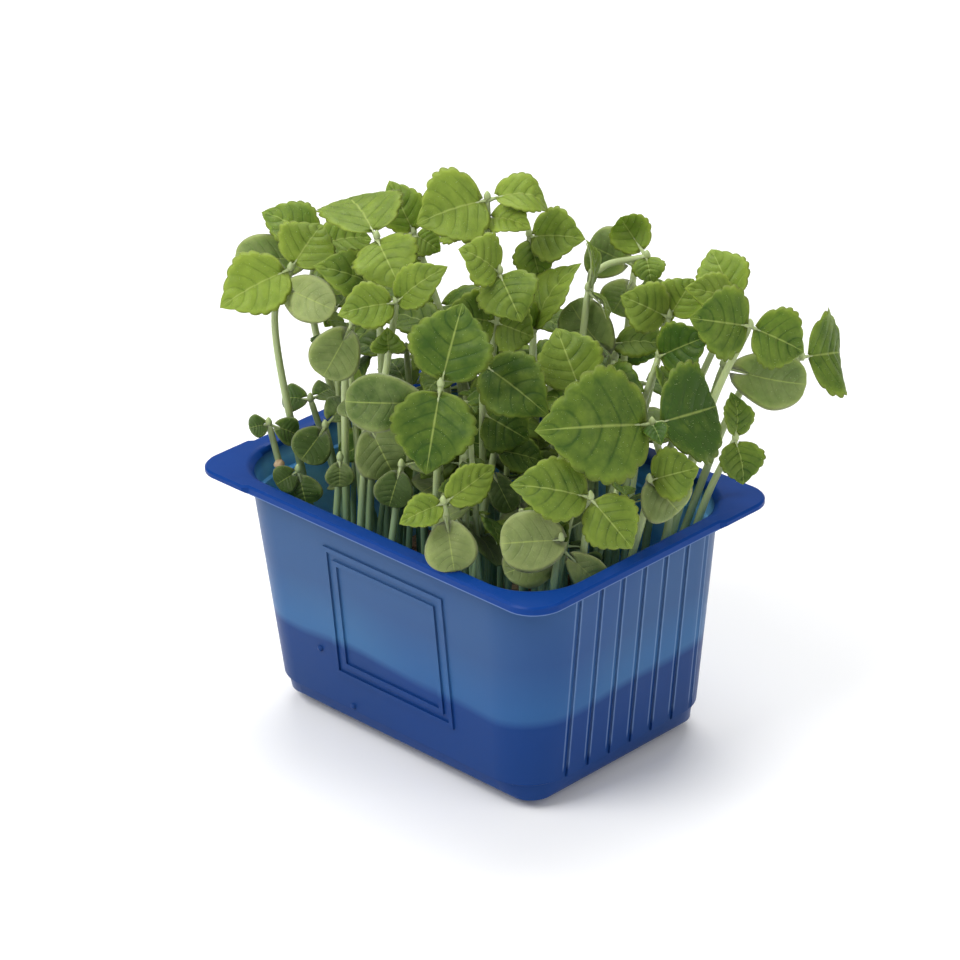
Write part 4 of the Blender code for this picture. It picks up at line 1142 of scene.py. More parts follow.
def seed_husks():
    """Husks that lie on the mat and husks that cling to stems, as one piece."""
    rng = random.Random(RANDOM_SEED + 1)
    plants = plan_seedlings()
    husks = []
    for place in husk_places([plant["root"] for plant in plants.values()]):
        body = husk_body(rng.uniform(0, math.pi), Vector((*place, MAT_TOP + HUSK_RISE)))
        husks.append(link_bmesh(f"husk_{len(husks)}", body))
    joined = join("seed_husks", husks + caught_husks(plants, len(husks)))
    joined.data.shade_smooth()
    return joined


def build_mat(options):
    mat = rough_mat(options)
    strands = loose_strands(mat, options)
    husks = seed_husks()
    dress(mat, fibre_material(options), "fibre_mat", "growing_mat")
    dress(strands, None, "fibre_mat", "growing_mat")
    dress(husks, husk_material(options), "fibre_mat", "growing_mat")


# Places of stems and leaves
def spline(points, share):
    """Point on a smooth curve through the given points."""
    spans = len(points) - 1
    place = min(share * spans, spans - 1e-6)
    i = int(place)
    t = place - i
    p1, p2 = points[i], points[i + 1]
    p0 = points[i - 1] if i else p1 * 2 - p2
    p3 = points[i + 2] if i + 2 <= spans else p2 * 2 - p1
    return 0.5 * (2 * p1 + (p2 - p0) * t + (2 * p0 - 5 * p1 + 4 * p2 - p3) * t ** 2
                  + (3 * p1 - p0 - 3 * p2 + p3) * t ** 3)


def stem_curve(root, bends, top):
    """Points that the stem's smooth curve runs through, from the mat to its top."""
    start = Vector((*root, MAT_TOP + STEM_STRAIGHT))
    if not bends:
        across, upward = STEM_BEND
        bend = start.lerp(top, across)
        bend.z = start.z + (top.z - start.z) * upward
        bends = [bend]
    return [start] + bends + [top]


def stem_path(curve, pieces):
    """Centre line of the stem, from the bottom of its hole to its top."""
    foot = Vector((curve[0].x, curve[0].y, MAT_TOP - FOOT_DEPTH))
    return [foot] + [spline(curve, k / pieces) for k in range(pieces + 1)]


def leaf_base(path, leaf):
    """Point on the stem's centre line where a leaf starts."""
    lengths = [(b - a).length for a, b in zip(path[1:], path[2:])]
    rest = sum(lengths) * leaf.at
    for i, length in enumerate(lengths):
        if rest <= length or i == len(lengths) - 1:
            return path[i + 1].lerp(path[i + 2], min(rest / length, STEM_TOP_SHARE))
        rest -= length
    return path[-1]


def back_places(taken, rng):
    """Free places of a loose grid over the back half of the mat."""
    places = []
    for row in range(BACK_ROWS):
        for column in range(BACK_COLUMNS):
            place = Vector((BACK_START[0] + BACK_PITCH[0] * column, BACK_START[1] + BACK_PITCH[1] * row))
            place += Vector((rng.uniform(-1, 1), rng.uniform(-1, 1)))
            in_corner = abs(place.x) > BACK_CORNER[0] and place.y > BACK_CORNER[1]
            if not in_corner and all((place - other).length > BACK_SPACING for other in taken + places):
                places.append(place)
    return places


def back_seedling(root, rng):
    """Seedling behind the ones that face the eye, with two pairs of leaves across each other."""
    away = (root - Vector(BACK_LEAN_FROM)).normalized() * rng.uniform(*BACK_LEAN)
    height = rng.uniform(*BACK_HEIGHT) - BACK_FALL * max(root.x, 0)
    curve = stem_curve(root, [], Vector((*(root + away), height)))
    path = stem_path(curve, STEM_PIECES)
    heading = rng.uniform(0, math.pi)
    leaves, tips = [], []
    for pair, at in enumerate(BACK_PAIRS):
        for half in range(2):
            angle = heading + math.pi * half + math.pi / 2 * pair
            length = rng.uniform(*BACK_LEAF_LENGTH) - BACK_PAIR_LOSS * pair
            leaf = Leaf(at, None, length * BACK_LEAF_WIDTH, BACK_LEAF_LIFT)
            leaves.append(leaf)
            reach = Vector((math.cos(angle) * length, math.sin(angle) * length, BACK_LEAF_RISE))
            tips.append(leaf_base(path, leaf) + reach)
    return {"root": root, "curve": curve, "leaves": leaves, "tips": tips}


def foot_gap(node, root):
    """Distance from a solid seedling's lowest points to a root."""
    verts = frame["nodes"][node].data.vertices
    low = min(vert.co.z for vert in verts)
    foot = [vert.co for vert in verts if vert.co.z < low + MM]
    middle = sum(foot, Vector()) / len(foot)
    return (middle.xy / MM - root).length


def plan_seedlings():
    """Curve, leaves and tips of every seedling: the measured ones, then those behind them."""
    plants = {}
    for name, seedling in SEEDLINGS.items():
        curve = stem_curve(seedling.root, [seen(bend) for bend in seedling.bends], seen(seedling.top))
        plants[f"seedling_{name}"] = {
            "root": Vector(seedling.root), "curve": curve, "leaves": seedling.leaves,
            "tips": [seen(leaf.tip) for leaf in seedling.leaves]}
    rng = random.Random(RANDOM_SEED + 2)
    added = 0
    for place in back_places([plant["root"] for plant in plants.values()], rng):
        plant = back_seedling(place, rng)
        name = f"seedling_back_{added + 1}"
        if added < BACK_SEEDLINGS and foot_gap(name, place) < FOOT_LIMIT:
            added += 1
            plants[name] = plant
    return plants


# Leaves
def half_width(leaf, share):
    """Half the blade's width at a share of its length, as a part of the full half width."""
    if leaf.kind == SEED:
        return math.sqrt(max(1 - (2 * share - 1) ** 2, 0.0)) ** SEED_ROUNDNESS
    at_base, to_tip = LEAF_FULLNESS
    return math.sin(math.pi * share ** LEAF_WIDEST) ** (at_base + to_tip * share)


def blade_axes(leaf, base, tip):
    """Directions along, out of and across a blade."""
    axis = (tip - base).normalized()
    turn = VIEW_TURN + math.radians(leaf.turn)
    lift = math.radians(leaf.lift)
    look = level(turn) * math.cos(lift) + Vector((0, 0, math.sin(lift)))
    normal = (look - axis * look.dot(axis)).normalized()
    return axis, normal, axis.cross(normal)


def stalk_share(leaf):
    return STALK_SHARE[leaf.kind] if leaf.stalk is None else leaf.stalk


def arch_rise(leaf, share, length):
    """How far the arch lifts a leaf's middle line at a share of its length."""
    return leaf.arch * 4 * share * (1 - share) * length


def stepped(table, length):
    """Count for a leaf's length, from pairs of a least length and a count."""
    return next(count for least, count in table if length > least)


def coarse_midrib(leaf, base, tip):
    """Points of the solid blade's midrib from its middle to its tip."""
    axis, normal, _ = blade_axes(leaf, base, tip)
    length = (tip - base).length
    rows = SEED_ROWS if leaf.kind == SEED else stepped(SOLID_ROWS, length)
    stalk = stalk_share(leaf)
    points = []
    for blade in [(k + 0.5) / rows for k in range(rows // 2, rows)] + [1.0]:
        share = stalk + (1 - stalk) * blade
        points.append(base + axis * length * share + normal * arch_rise(leaf, share, length))
    return points


def nudges():
    """Turns of a leaf about its foot, smallest first: degrees round, degrees up, size."""
    steps = [(turn, rise, size) for size in (1.0, 0.9, 0.8, 0.7)
             for turn in (0, -6, 6, -12, 12, -18, 18, -26, 26)
             for rise in (0, 6, -6, 12, -12, 18, -18)]
    return sorted(steps, key=lambda s: abs(s[0]) + abs(s[1]) + 60 * (1 - s[2]))


def nudged(leaf, base, tip, nudge):
    turn, rise, size = nudge
    reach = tip - base
    level_side = reach.cross(Vector((0, 0, 1)))
    if level_side.length < 0.001:
        level_side = Vector((1, 0, 0))
    reach = Matrix.Rotation(math.radians(rise), 3, level_side) @ reach
    reach = Matrix.Rotation(math.radians(turn), 3, "Z") @ reach
    return leaf._replace(width=leaf.width * size), base + reach * size


def solid_points(node):
    """Search tree over the points of a solid seedling, in millimetres."""
    verts = frame["nodes"][node].data.vertices
    tree = KDTree(len(verts))
    for i, vert in enumerate(verts):
        tree.insert(vert.co / MM, i)
    tree.balance()
    return tree


def laid_leaf(leaf, base, aim, tree):
    """Leaf as it lies in the solid seedling, or None where the solid leaves it out."""
    best = (MATCH_LIMIT, None)
    for nudge in nudges():
        shape, tip = nudged(leaf, base, aim, nudge)
        points = coarse_midrib(shape, base, tip)
        misses = [abs(tree.find(point)[2] - BLADE_THICKNESS / 2) for point in points]
        error = sum(misses) / len(misses)
        if error < best[0]:
            best = (error, (shape, tip))
        if error < MATCH_LIMIT / 4:
            break
    return best[1]


class Shape:
    """Points and faces of a piece that is put together from tubes and sheets."""

    def __init__(self):
        self.points = []
        self.faces = []
        self.places = []
        self.tints = []
        self.slots = []

    def add(self, points, faces, places, tint, slots):
        start = len(self.points)
        self.points.extend(point * MM for point in points)
        self.faces.extend(tuple(i + start for i in face) for face in faces)
        self.places.extend(places)
        self.tints.extend([tint] * len(points))
        self.slots.extend(slots)

    def tube(self, path, radii, sides, slot):
        """Round tube with closed ends along a path."""
        points, faces = [], []
        side = (path[1] - path[0]).orthogonal().normalized()
        for i, (place, radius) in enumerate(zip(path, radii)):
            ahead = (path[min(i + 1, len(path) - 1)] - path[max(i - 1, 0)]).normalized()
            side = (side - ahead * side.dot(ahead)).normalized()
            over = ahead.cross(side)
            for k in range(sides):
                angle = math.tau * k / sides
                points.append(place + (side * math.cos(angle) + over * math.sin(angle)) * radius)
        for i in range(len(path) - 1):
            for k in range(sides):
                a, b = sides * i + k, sides * i + (k + 1) % sides
                faces.append((a, b, b + sides, a + sides))
        last = sides * (len(path) - 1)
        faces.append(tuple(reversed(range(sides))))
        faces.append(tuple(range(last, last + sides)))
        self.add(points, faces, [(0.5, 0.5)] * len(points), 0.5, [slot] * len(faces))

    def finished(self, name, materials):
        mesh = bpy.data.meshes.new(name)
        mesh.from_pydata(self.points, [], self.faces)
        mesh.polygons.foreach_set("material_index", self.slots)
        leaf_map = mesh.uv_layers.new(name=LEAF_MAP)
        corners = [value for loop in mesh.loops for value in self.places[loop.vertex_index]]
        leaf_map.data.foreach_set("uv", corners)
        tint = mesh.attributes.new(TINT, "FLOAT", "POINT")
        tint.data.foreach_set("value", self.tints)
        for material in materials:
            mesh.materials.append(material)
        mesh.shade_smooth()
        return link_mesh(name, mesh)


def scallop(share, teeth):
    """Blunt teeth that lean to the tip: 0 in the notch between two, 1 on a tooth."""
    place = (share * teeth) % 1.0
    return math.sin(math.pi * place ** TOOTH_LEAN) ** TOOTH_BLUNTNESS


def edge_direction(leaf, share, length):
    """Outward direction of the blade's edge, as parts along the blade and across it."""
    step = 0.01
    before, after = max(share - step, 0.0), min(share + step, 1.0)
    rise = (half_width(leaf, after) - half_width(leaf, before)) * leaf.width / 2
    run = (after - before) * length
    size = math.hypot(rise, run)
    return -rise / size, run / size


def quilting(u, s):
    """Height of the blade between its side veins, less the crease along its middle."""
    reach = abs(u)
    lateral = s * VEINS - reach ** VEIN_CURVE * VEIN_SLOPE
    swell = abs(math.sin(math.pi * lateral)) ** 0.8 * (1 - reach ** 3) * math.sin(math.pi * s) ** 0.5
    crease = math.exp(-(u / CREASE_WIDTH) ** 2) * (1 - s)
    return swell - CREASE_DEPTH * crease


def tooth_reach(leaf, s, length, options):
    """How far a tooth stands out of the even edge of a leaf, or a notch goes into it."""
    if leaf.kind == SEED:
        return 0.0
    teeth = scallop(s, stepped(TEETH, length)) - TOOTH_MIDDLE
    return options.tooth_depth * leaf.width / 2 * teeth * (1 - s ** TOOTH_FADE)


def blade_points(leaf, base, tip, rows, columns, wave, options):
    """Points of a blade's upper and lower skin, row by row, with their places on the leaf map."""
    axis, normal, side = blade_axes(leaf, base, tip)
    length = (tip - base).length
    stalk = stalk_share(leaf)
    lobe, spread = BASE_LOBE[leaf.kind]
    height, phase = wave
    upper, lower, places = [], [], []
    for r in range(rows + 1):
        s = r / rows
        share = stalk + (1 - stalk) * s
        half = max(half_width(leaf, s) * leaf.width / 2, BLADE_FOOT * (1 - s))
        tooth = tooth_reach(leaf, s, length, options)
        forward, outward = edge_direction(leaf, s, length * (1 - stalk))
        arch = arch_rise(leaf, share, length)
        for c in range(columns + 1):
            u = 2 * c / columns - 1
            reach = abs(u)
            depth = options.pucker / MM * QUILT_SHARE[leaf.kind]
            rise = arch + reach ** FOLD_POWER * half * FOLD[leaf.kind] + depth * quilting(u, s)
            turn = phase + EDGE_WAVE_TURN * s * math.copysign(1, u)
            rise += height * reach ** 2 * math.sin(turn) * math.sin(math.pi * s) ** 0.5
            cut = tooth * reach ** 3
            along = length * (share - lobe * reach ** 2 * math.exp(-s / spread)) + cut * forward
            across = math.copysign(reach * half + cut * outward, u)
            place = base + axis * along + side * across + normal * rise
            thick = options.blade_thickness / MM / 2 * (1 - reach ** 4) * math.sin(math.pi * s) ** 0.25
            upper.append(place + normal * thick)
            lower.append(place - normal * thick)
            places.append(((u + 1) / 2, s))
    return upper, lower, places


def add_blade(shape, leaf, base, tip, tint, rng, options, columns=COLUMNS, tooth_rows=ROWS_PER_TOOTH):
    """Thin blade with cut edges, quilted between its veins and closed all round, and its midrib."""
    rows = stepped(TEETH, (tip - base).length) * tooth_rows
    wave = (rng.uniform(*EDGE_WAVE) * leaf.width, rng.uniform(0, math.tau))
    points, lower, spots = blade_points(leaf, base, tip, rows, columns, wave, options)
    width = columns + 1
    under = {}
    for i, point in enumerate(lower):
        on_rim = i // width in (0, rows) or i % width in (0, columns)
        under[i] = i if on_rim else len(points)
        if not on_rim:
            points.append(point)
            spots.append(spots[i])
    faces, slots = [], []
    for r in range(rows):
        for c in range(columns):
            a, b = r * width + c, (r + 1) * width + c
            faces.append((a, a + 1, b + 1, b))
            faces.append(tuple(under[i] for i in (b, b + 1, a + 1, a)))
            slots.extend((SEED_SLOT if leaf.kind == SEED else TOP_SLOT, UNDER_SLOT))
    shape.add(points, faces, spots, tint, slots)
    add_midrib(shape, leaf, base, tip)


def add_midrib(shape, leaf, base, tip):
    """Stalk and midrib: a round rod along the middle of a leaf, which gets thinner to the tip."""
    axis, normal, _ = blade_axes(leaf, base, tip)
    length = (tip - base).length
    stalk = stalk_share(leaf)
    path, radii = [], []
    for k in range(RIB_RINGS + 1):
        share = RIB_REACH * k / RIB_RINGS
        rise = arch_rise(leaf, share, length) - RIB_SINK * min(share / stalk, 1)
        path.append(base + axis * length * share + normal * rise)
        radii.append(RIB_RADIUS - (RIB_RADIUS - RIB_TIP) * (share / RIB_REACH) ** RIB_TAPER)
    shape.tube(path, radii, STALK_SIDES, STEM_SLOT)


def add_stem(shape, curve):
    path = stem_path(curve, STEM_RINGS)
    radii = [STEM_RADIUS * (1.0 - STEM_TAPER * k / (len(path) - 1)) for k in range(len(path))]
    radii[-1] *= STEM_TOP_TAPER
    shape.tube(path, radii, STEM_SIDES, STEM_SLOT)
    bud = [path[-1] + Vector((0, 0, height)) for height in BUD_HEIGHTS]
    shape.tube(bud, BUD_RADII, STEM_SIDES, STEM_SLOT)


def seedling_materials(options):
    """Skins of the stems, the leaves' tops, their undersides and the seed leaves' tops."""
    vein = options.vein_colour
    return [
        stem_material(options),
        # First number: painted shade in the side veins' creases (negative: paler veins on the underside);
        # second: the paler rim
        leaf_material("leaf_top", options.dark_colour, options.light_colour, vein, 0.22, 0.36,
                      Subsurface_Weight=0.12, Specular_IOR_Level=0.2),
        leaf_material("leaf_underside", options.under_dark_colour, options.under_colour, vein, -0.3, 0.1,
                      Subsurface_Weight=0.1, Sheen_Weight=0.08, Specular_IOR_Level=0.2),
        leaf_material("seed_leaf_top", options.seed_dark_colour, options.seed_leaf_colour, vein, 0.04, 0.35,
                      Subsurface_Weight=0.15, Sheen_Weight=0.1, Specular_IOR_Level=0.25)]


def build_seedlings(options):
    materials = seedling_materials(options)
    rng = random.Random(RANDOM_SEED + 3)
    shapes, samples = [], []
    plants = plan_seedlings()
    for name, plant in plants.items():
        tree = solid_points(name)
        shape = Shape()
        add_stem(shape, plant["curve"])
        path = stem_path(plant["curve"], STEM_PIECES)
        for leaf, aim in zip(plant["leaves"], plant["tips"]):
            base = leaf_base(path, leaf)
            laid = laid_leaf(leaf, base, aim, tree)
            if laid:
                shown, tip = laid
                # Tint: paler with height, partly for young leaves and partly as painted light; low and shaded
                # leaves get painted shade
                height = (tip.z - RIM_HEIGHT) / (CAD_TOP - RIM_HEIGHT)
                usual = TINT_AND_LIGHT_BY_HEIGHT[0] + TINT_AND_LIGHT_BY_HEIGHT[1] * height
                tint = YOUTH_AND_SHADE_TINTS.get(name.removeprefix("seedling_"), usual)
                tint += rng.uniform(-TINT_SPREAD, TINT_SPREAD)
                add_blade(shape, shown, base, tip, tint, rng, options)
                samples.extend(leaf_samples(shown, base, tip))
        shapes.append(shape)
        dress(shape.finished(f"{name}_fine", materials), None, "seedling_green", name)
    roots = [plant["root"] for plant in plants.values()]
    build_small_seedlings(options, shapes, Picture(samples), roots, materials)


def picture_place(point):
    """Right, up and near of a place in the tray's frame: what seen() turns round."""
    toward, right, up = view_axes()
    eye = VIEW_TARGET + toward * VIEW_DISTANCE
    ray = point - eye
    scale = VIEW_DISTANCE / -ray.dot(toward)
    return Vector((ray.dot(right) * scale, ray.dot(up) * scale, point.dot(level(VIEW_TURN))))


def small_seedling(rng, roots, aim=None):
    """Young seedling with a few small leaves, free on the mat or below a gap that it fills."""
    across, along = SMALL_AREA
    away = Vector((rng.uniform(-1, 1), rng.uniform(*SMALL_AWAY))) * SMALL_LEAN
    if aim:
        place = aim.xy + away
        root = Vector((max(-across, min(place.x, across)), max(-along, min(place.y, along))))
        top = aim
    else:
        low, high = SMALL_HEIGHT
        root = Vector((rng.uniform(-across, across), rng.uniform(-along, along)))
        top = Vector((*(root + away), high - (high - low) * rng.random() ** SMALL_FALL))
    crowded = any((root - other).length < SMALL_SPACING for other in roots)
    if crowded or (top.xy - root).length > SMALL_OVERHANG:
        return None
    curve = stem_curve(root, [], top)
    path = stem_path(curve, STEM_PIECES)
    heading = rng.uniform(0, math.tau)
    leaves = []
    for pair, at in enumerate(SMALL_PAIRS):
        for half in range(2):
            angle = heading + math.pi * half + math.pi / 2 * pair + rng.uniform(-SMALL_TURNS, SMALL_TURNS)
            toward = Vector((math.cos(angle), math.sin(angle), rng.uniform(*SMALL_RISE))).normalized()
            spread = SMALL_LEAF_TURN if aim else 180
            turn = rng.uniform(-spread, spread)
            leaf = Leaf(at, None, rng.uniform(*SMALL_LEAF_WIDTH), rng.uniform(*SMALL_LEAF_LIFT), turn,
                        SEED if pair == 2 else LEAF, None, SMALL_LEAF_ARCH)
            leaves.append((leaf, leaf_base(path, leaf), toward * rng.uniform(*SMALL_LEAF_LENGTH)))
    return {"root": root, "curve": curve, "leaves": leaves}


class Picture:
    """What the measured leaves cover, seen over the front corner."""

    def __init__(self, samples):
        places = [picture_place(sample) for sample in samples]
        self.nears = [place.z for place in places]
        self.tree = KDTree(len(places))
        self.tops = {}
        for i, place in enumerate(places):
            self.tree.insert((place.x, place.y, 0.0), i)
            column = round(place.x / PICTURE_COLUMN)
            self.tops[column] = max(self.tops.get(column, place.y), place.y)
        self.tree.balance()

    def gaps(self):
        """Places between the leaves where nothing measured is seen."""
        left, right = PICTURE_SIDES
        places = []
        for column, top in self.tops.items():
            across = column * PICTURE_COLUMN
            height = GAP_LOW if left < across < right else top
            while height < top - GAP_EDGE:
                if self.tree.find((across, height, 0.0))[2] > GAP_SIZE:
                    places.append((across, height))
                height += GAP_STEP
        return places

    def hidden(self, points):
        """Whether a measured leaf would be hidden behind one of the points."""
        for point in points:
            place = picture_place(point)
            _, i, gap = self.tree.find((place.x, place.y, 0.0))
            if gap < PICTURE_GAP and place.z > self.nears[i] - PICTURE_MARGIN:
                return True
        return False

    def under(self, points):
        """Whether the points stay under the outline of the measured leaves."""
        left, right = PICTURE_SIDES
        for point in points:
            place = picture_place(point)
            top = self.tops.get(round(place.x / PICTURE_COLUMN), -math.inf)
            if not (left < place.x < right and place.y < top - PICTURE_MARGIN):
                return False
        return True


def crosses(points, tree, gap):
    return any(tree.find_nearest(point, gap)[0] is not None for point in points)


def leaf_samples(leaf, base, tip):
    """Points spread over a blade, to test it against its neighbours."""
    axis, normal, side = blade_axes(leaf, base, tip)
    length = (tip - base).length
    stalk = stalk_share(leaf)
    return [base + axis * length * (stalk + (1 - stalk) * s) + side * u * half_width(leaf, s) * leaf.width / 2
            + normal * arch_rise(leaf, s, length)
            for s in (0.15, 0.4, 0.65, 0.9, 1.0) for u in (-1.0, -0.5, 0.0, 0.5, 1.0)]


def inside_reach(point):
    """Whether a point lies over the tray, and inside it where it is lower than the rim."""
    across, front, back = SMALL_REACH
    if point.z < RIM_HEIGHT + SMALL_OVER_RIM:
        return abs(point.x) < SMALL_INSIDE[0] and abs(point.y) < SMALL_INSIDE[1]
    return abs(point.x) < across and front < point.y < back and point.z < CAD_TOP - SMALL_UNDER_TOP


def small_leaf_fits(samples, tree, picture, taken):
    if not all(inside_reach(point) and point.z > RIM_HEIGHT - SMALL_DEPTH for point in samples):
        return False
    if crosses(samples, tree, SMALL_LEAF_CLEARANCE) or not picture.under(samples) or picture.hidden(samples):
        return False
    middle = samples[len(samples) // 2]
    near = [other for other in taken if (other - middle).length < SMALL_LEAF_LENGTH[1]]
    return not any((point - other).length < SMALL_LEAF_SPACING for point in samples for other in near)


def small_stem_fits(plant, tree, picture):
    """Whether a small seedling stands clear of the others, inside the tray and behind them."""
    if plant["root"] @ level(VIEW_TURN + math.pi / 2).xy > SMALL_RIGHT:
        return False
    stem = stem_path(plant["curve"], SMALL_STEM_SAMPLES[0])[2:]
    if not all(inside_reach(point) for point in stem) or not picture.under(stem[-SMALL_STEM_TOP:]):
        return False
    return not (crosses(stem, tree, STEM_RADIUS + SMALL_STEM_CLEARANCE) or picture.hidden(stem))


def fitting_leaves(plant, tree, picture, taken):
    """Leaves of a small seedling that have room, each in the largest size that fits."""
    kept = []
    for leaf, base, toward in plant["leaves"]:
        for size in SMALL_SIZES:
            tip = base + toward * size
            sized = leaf._replace(width=leaf.width * toward.length * size)
            samples = leaf_samples(sized, base, tip)
            if small_leaf_fits(samples, tree, picture, taken):
                kept.append((sized, base, tip, samples))
                break
    return kept


def small_aims(rng, picture):
    """Places for the tops of small seedlings: first in the gaps of the picture, then anywhere."""
    gaps = picture.gaps()
    rng.shuffle(gaps)
    back, front = GAP_NEAR
    aims = [seen((*gap, back + (front - back) * rng.random() ** 2)) for gap in gaps for _ in range(GAP_TRIES)]
    low, high = GAP_HEIGHTS
    return [aim for aim in aims if low < aim.z < high] + [None] * SMALL_TRIES


def skin_tree(shapes):
    """Search tree over the skins of the finished seedlings, in millimetres."""
    points, faces = [], []
    for shape in shapes:
        faces.extend(tuple(i + len(points) for i in face) for face in shape.faces)
        points.extend(Vector(point) / MM for point in shape.points)
    return BVHTree.FromPolygons(points, faces)


def build_small_seedlings(options, shapes, picture, roots, materials):
    """Small seedlings behind and between the large ones, where nothing else stands."""
    rng = random.Random(RANDOM_SEED + 4)
    tree = skin_tree(shapes)
    small = Shape()
    taken = []
    leaves = 0
    for aim in small_aims(rng, picture):
        plant = small_seedling(rng, roots, aim)
        if plant is None or leaves > SMALL_LEAVES or not small_stem_fits(plant, tree, picture):
            continue
        kept = fitting_leaves(plant, tree, picture, taken)
        if not kept or kept[0][0].at < 1 or (len(kept) < 2 and not aim):
            continue
        roots.append(plant["root"])
        path = stem_path(plant["curve"], STEM_RINGS // 2)
        thick, thin = SMALL_STEM_RADII
        radii = [thick - (thick - thin) * k / len(path) for k in range(len(path))]
        small.tube(path, radii, SMALL_STEM_SIDES, STEM_SLOT)
        for leaf, base, tip, samples in kept:
            taken.extend(samples)
            leaves += 1
            # The small seedlings' tints lean dark: partly painted shade behind the large ones
            add_blade(small, leaf, base, tip, rng.uniform(*SMALL_TINT_AND_SHADE), rng, options, *SMALL_BLADE)
        taken.extend(stem_path(plant["curve"], SMALL_STEM_SAMPLES[1])[2:])
    dress(small.finished("small_seedlings", materials), None, "seedling_green")


def build_hairs(options):
    """Short hairs over every measured and back seedling, standing on its skin; the small seedlings get none.
    """
    green = [obj for obj in bpy.context.scene.objects if obj.name.startswith("seedling_") and
             obj.name.endswith("_fine")]
    bm = bmesh.new()
    for obj in green:
        bm.from_mesh(obj.data)
    mesh = bpy.data.meshes.new("leaf_hairs")
    bm.to_mesh(mesh)
    area = sum(face.calc_area() for face in bm.faces)
    bm.free()
    hairs = link_mesh("leaf_hairs", mesh)
    tree = scatter_tree("Hairs", hair_shape, hair_material(options), True)
    grow(hairs, tree, density=options.hairs / area, size=options.hair_length)
    dress(hairs, None, "seedling_green")


# Stage
def add_light(name, turn, tilt, distance, size, power):
    toward = level(turn) * math.cos(tilt) + Vector((0, 0, math.sin(tilt)))
    light = bpy.data.lights.new(name, "AREA")
    light.size = size
    light.energy = power
    lamp = bpy.data.objects.new(name, light)
    lamp.location = VIEW_TARGET * MM + toward * distance
    lamp.rotation_euler = toward.to_track_quat("Z", "Y").to_euler()
    bpy.context.scene.collection.objects.link(lamp)


def add_floor(options):
    bm = bmesh.new()
    bmesh.ops.create_grid(bm, x_segments=8, y_segments=8, size=options.floor_size / 2)
    floor = link_bmesh("floor", bm)
    floor.location.z = -FLOOR_DROP
    pale = tuple(options.floor_colour)
    darker = tuple(FLOOR_SHADE * value for value in pale)
    material = mottled_material("pale_floor", pale, darker, (14.0,), (0.4, 0.6, 0.0, 0.3), Roughness=0.8)
    floor.data.materials.append(material)


def add_camera():
    toward, right, up = view_axes()
    camera = bpy.data.objects.new("camera", bpy.data.cameras.new("camera"))
    camera.data.lens = VIEW_LENS
    camera.data.sensor_width = SENSOR_WIDTH
    camera.data.clip_start = 0.01
    matrix = Matrix((right, up, toward)).transposed().to_4x4()
    matrix.translation = (VIEW_TARGET + toward * VIEW_DISTANCE) * MM
    camera.matrix_world = matrix
    bpy.context.scene.collection.objects.link(camera)
    bpy.context.scene.camera = camera


def build_stage(options):
    add_floor(options)
    for name, turn, tilt, distance, size in LIGHTS:
        add_light(name, VIEW_TURN + math.radians(turn), math.radians(tilt), distance, size,
                  getattr(options, f"{name}_power"))
    world = bpy.data.worlds.new("soft_light")
    world.use_nodes = True
    background = world.node_tree.nodes["Background"]
    background.inputs["Color"].default_value = (1.0, 1.0, 1.0, 1.0)
    background.inputs["Strength"].default_value = options.world_strength
    bpy.context.scene.world = world
    add_camera()
    bpy.context.scene.view_settings.view_transform = "Standard"


# Settings
def colour_setting(name, description, default):
    return FloatVectorProperty(name=name, description=description, default=default, subtype="COLOR",
                               size=3, min=0.0, max=1.0)


def length_setting(name, description, default):
    return FloatProperty(name=name, description=description, default=default * MM, min=0.0,
                         subtype="DISTANCE", unit="LENGTH")


def share_setting(name, description, default):
    return FloatProperty(name=name, description=description, default=default, min=0.0, max=1.0,
                         subtype="FACTOR")


def power_setting(name, description, default):
    return FloatProperty(name=name, description=description, default=default, subtype="POWER", unit="POWER")


class TrayOptions(bpy.types.PropertyGroup):
    """Looks of the moulded tray"""
    rim_colour: colour_setting("Rim", "Colour of the thick rim", (0.002, 0.043, 0.24))
    wall_colour: colour_setting("Wall", "Colour of the thin wall", (0.042, 0.104, 0.245))
    # Painted light and shade of the thin wall: paler just over the mat, darker in front of it where less
    # light comes through
    lit_colour: colour_setting("Lit wall", "Colour of the wall just over the mat", (0.046, 0.145, 0.32))
    mat_shaded_colour: colour_setting("Backed wall", "Colour in front of the mat", (0.012, 0.048, 0.18))
    inside_colour: colour_setting("Inside", "Colour of the wall's inner side", (0.10, 0.40, 0.98))
    inside_pale_colour: colour_setting("Pale inside", "Palest colour of the inner side", (0.36, 0.76, 1.0))
    # Colour of the painted highlights on the groove edges and at the rim's lower edge
    highlight_colour: colour_setting("Edges", "Colour of the palest edges", (0.30, 0.45, 0.72))
    shine: share_setting("Shine", "Strength of the plastic's reflections", 0.08)
    clearness: share_setting("Clearness", "How much light the plastic lets through", 0.08)
    roughness: share_setting("Roughness", "How matt the plastic is", 0.3)
    edge_radius: length_setting("Edge radius", "Rounding of the moulded edges", EDGE_BEVEL)


class MatOptions(bpy.types.PropertyGroup):
    """Looks of the growing mat and its husks"""
    colour: colour_setting("Fibre", "Main colour of the fibre", (0.14, 0.07, 0.03))
    dark_colour: colour_setting("Wet fibre", "Colour of the hollows", (0.045, 0.022, 0.01))
    pale_colour: colour_setting("Pale fibre", "Colour of the palest strands", (0.42, 0.28, 0.15))
    husk_colour: colour_setting("Husk", "Colour of the seed husks", (0.50, 0.37, 0.22))
    roughness: length_setting("Unevenness", "Height of the mat's lumps", 1.0)
    strands: IntProperty(name="Strands", description="Loose strands on the mat", default=3600, min=0)
    strand_length: length_setting("Strand length", "Length of a loose strand", 4.5)


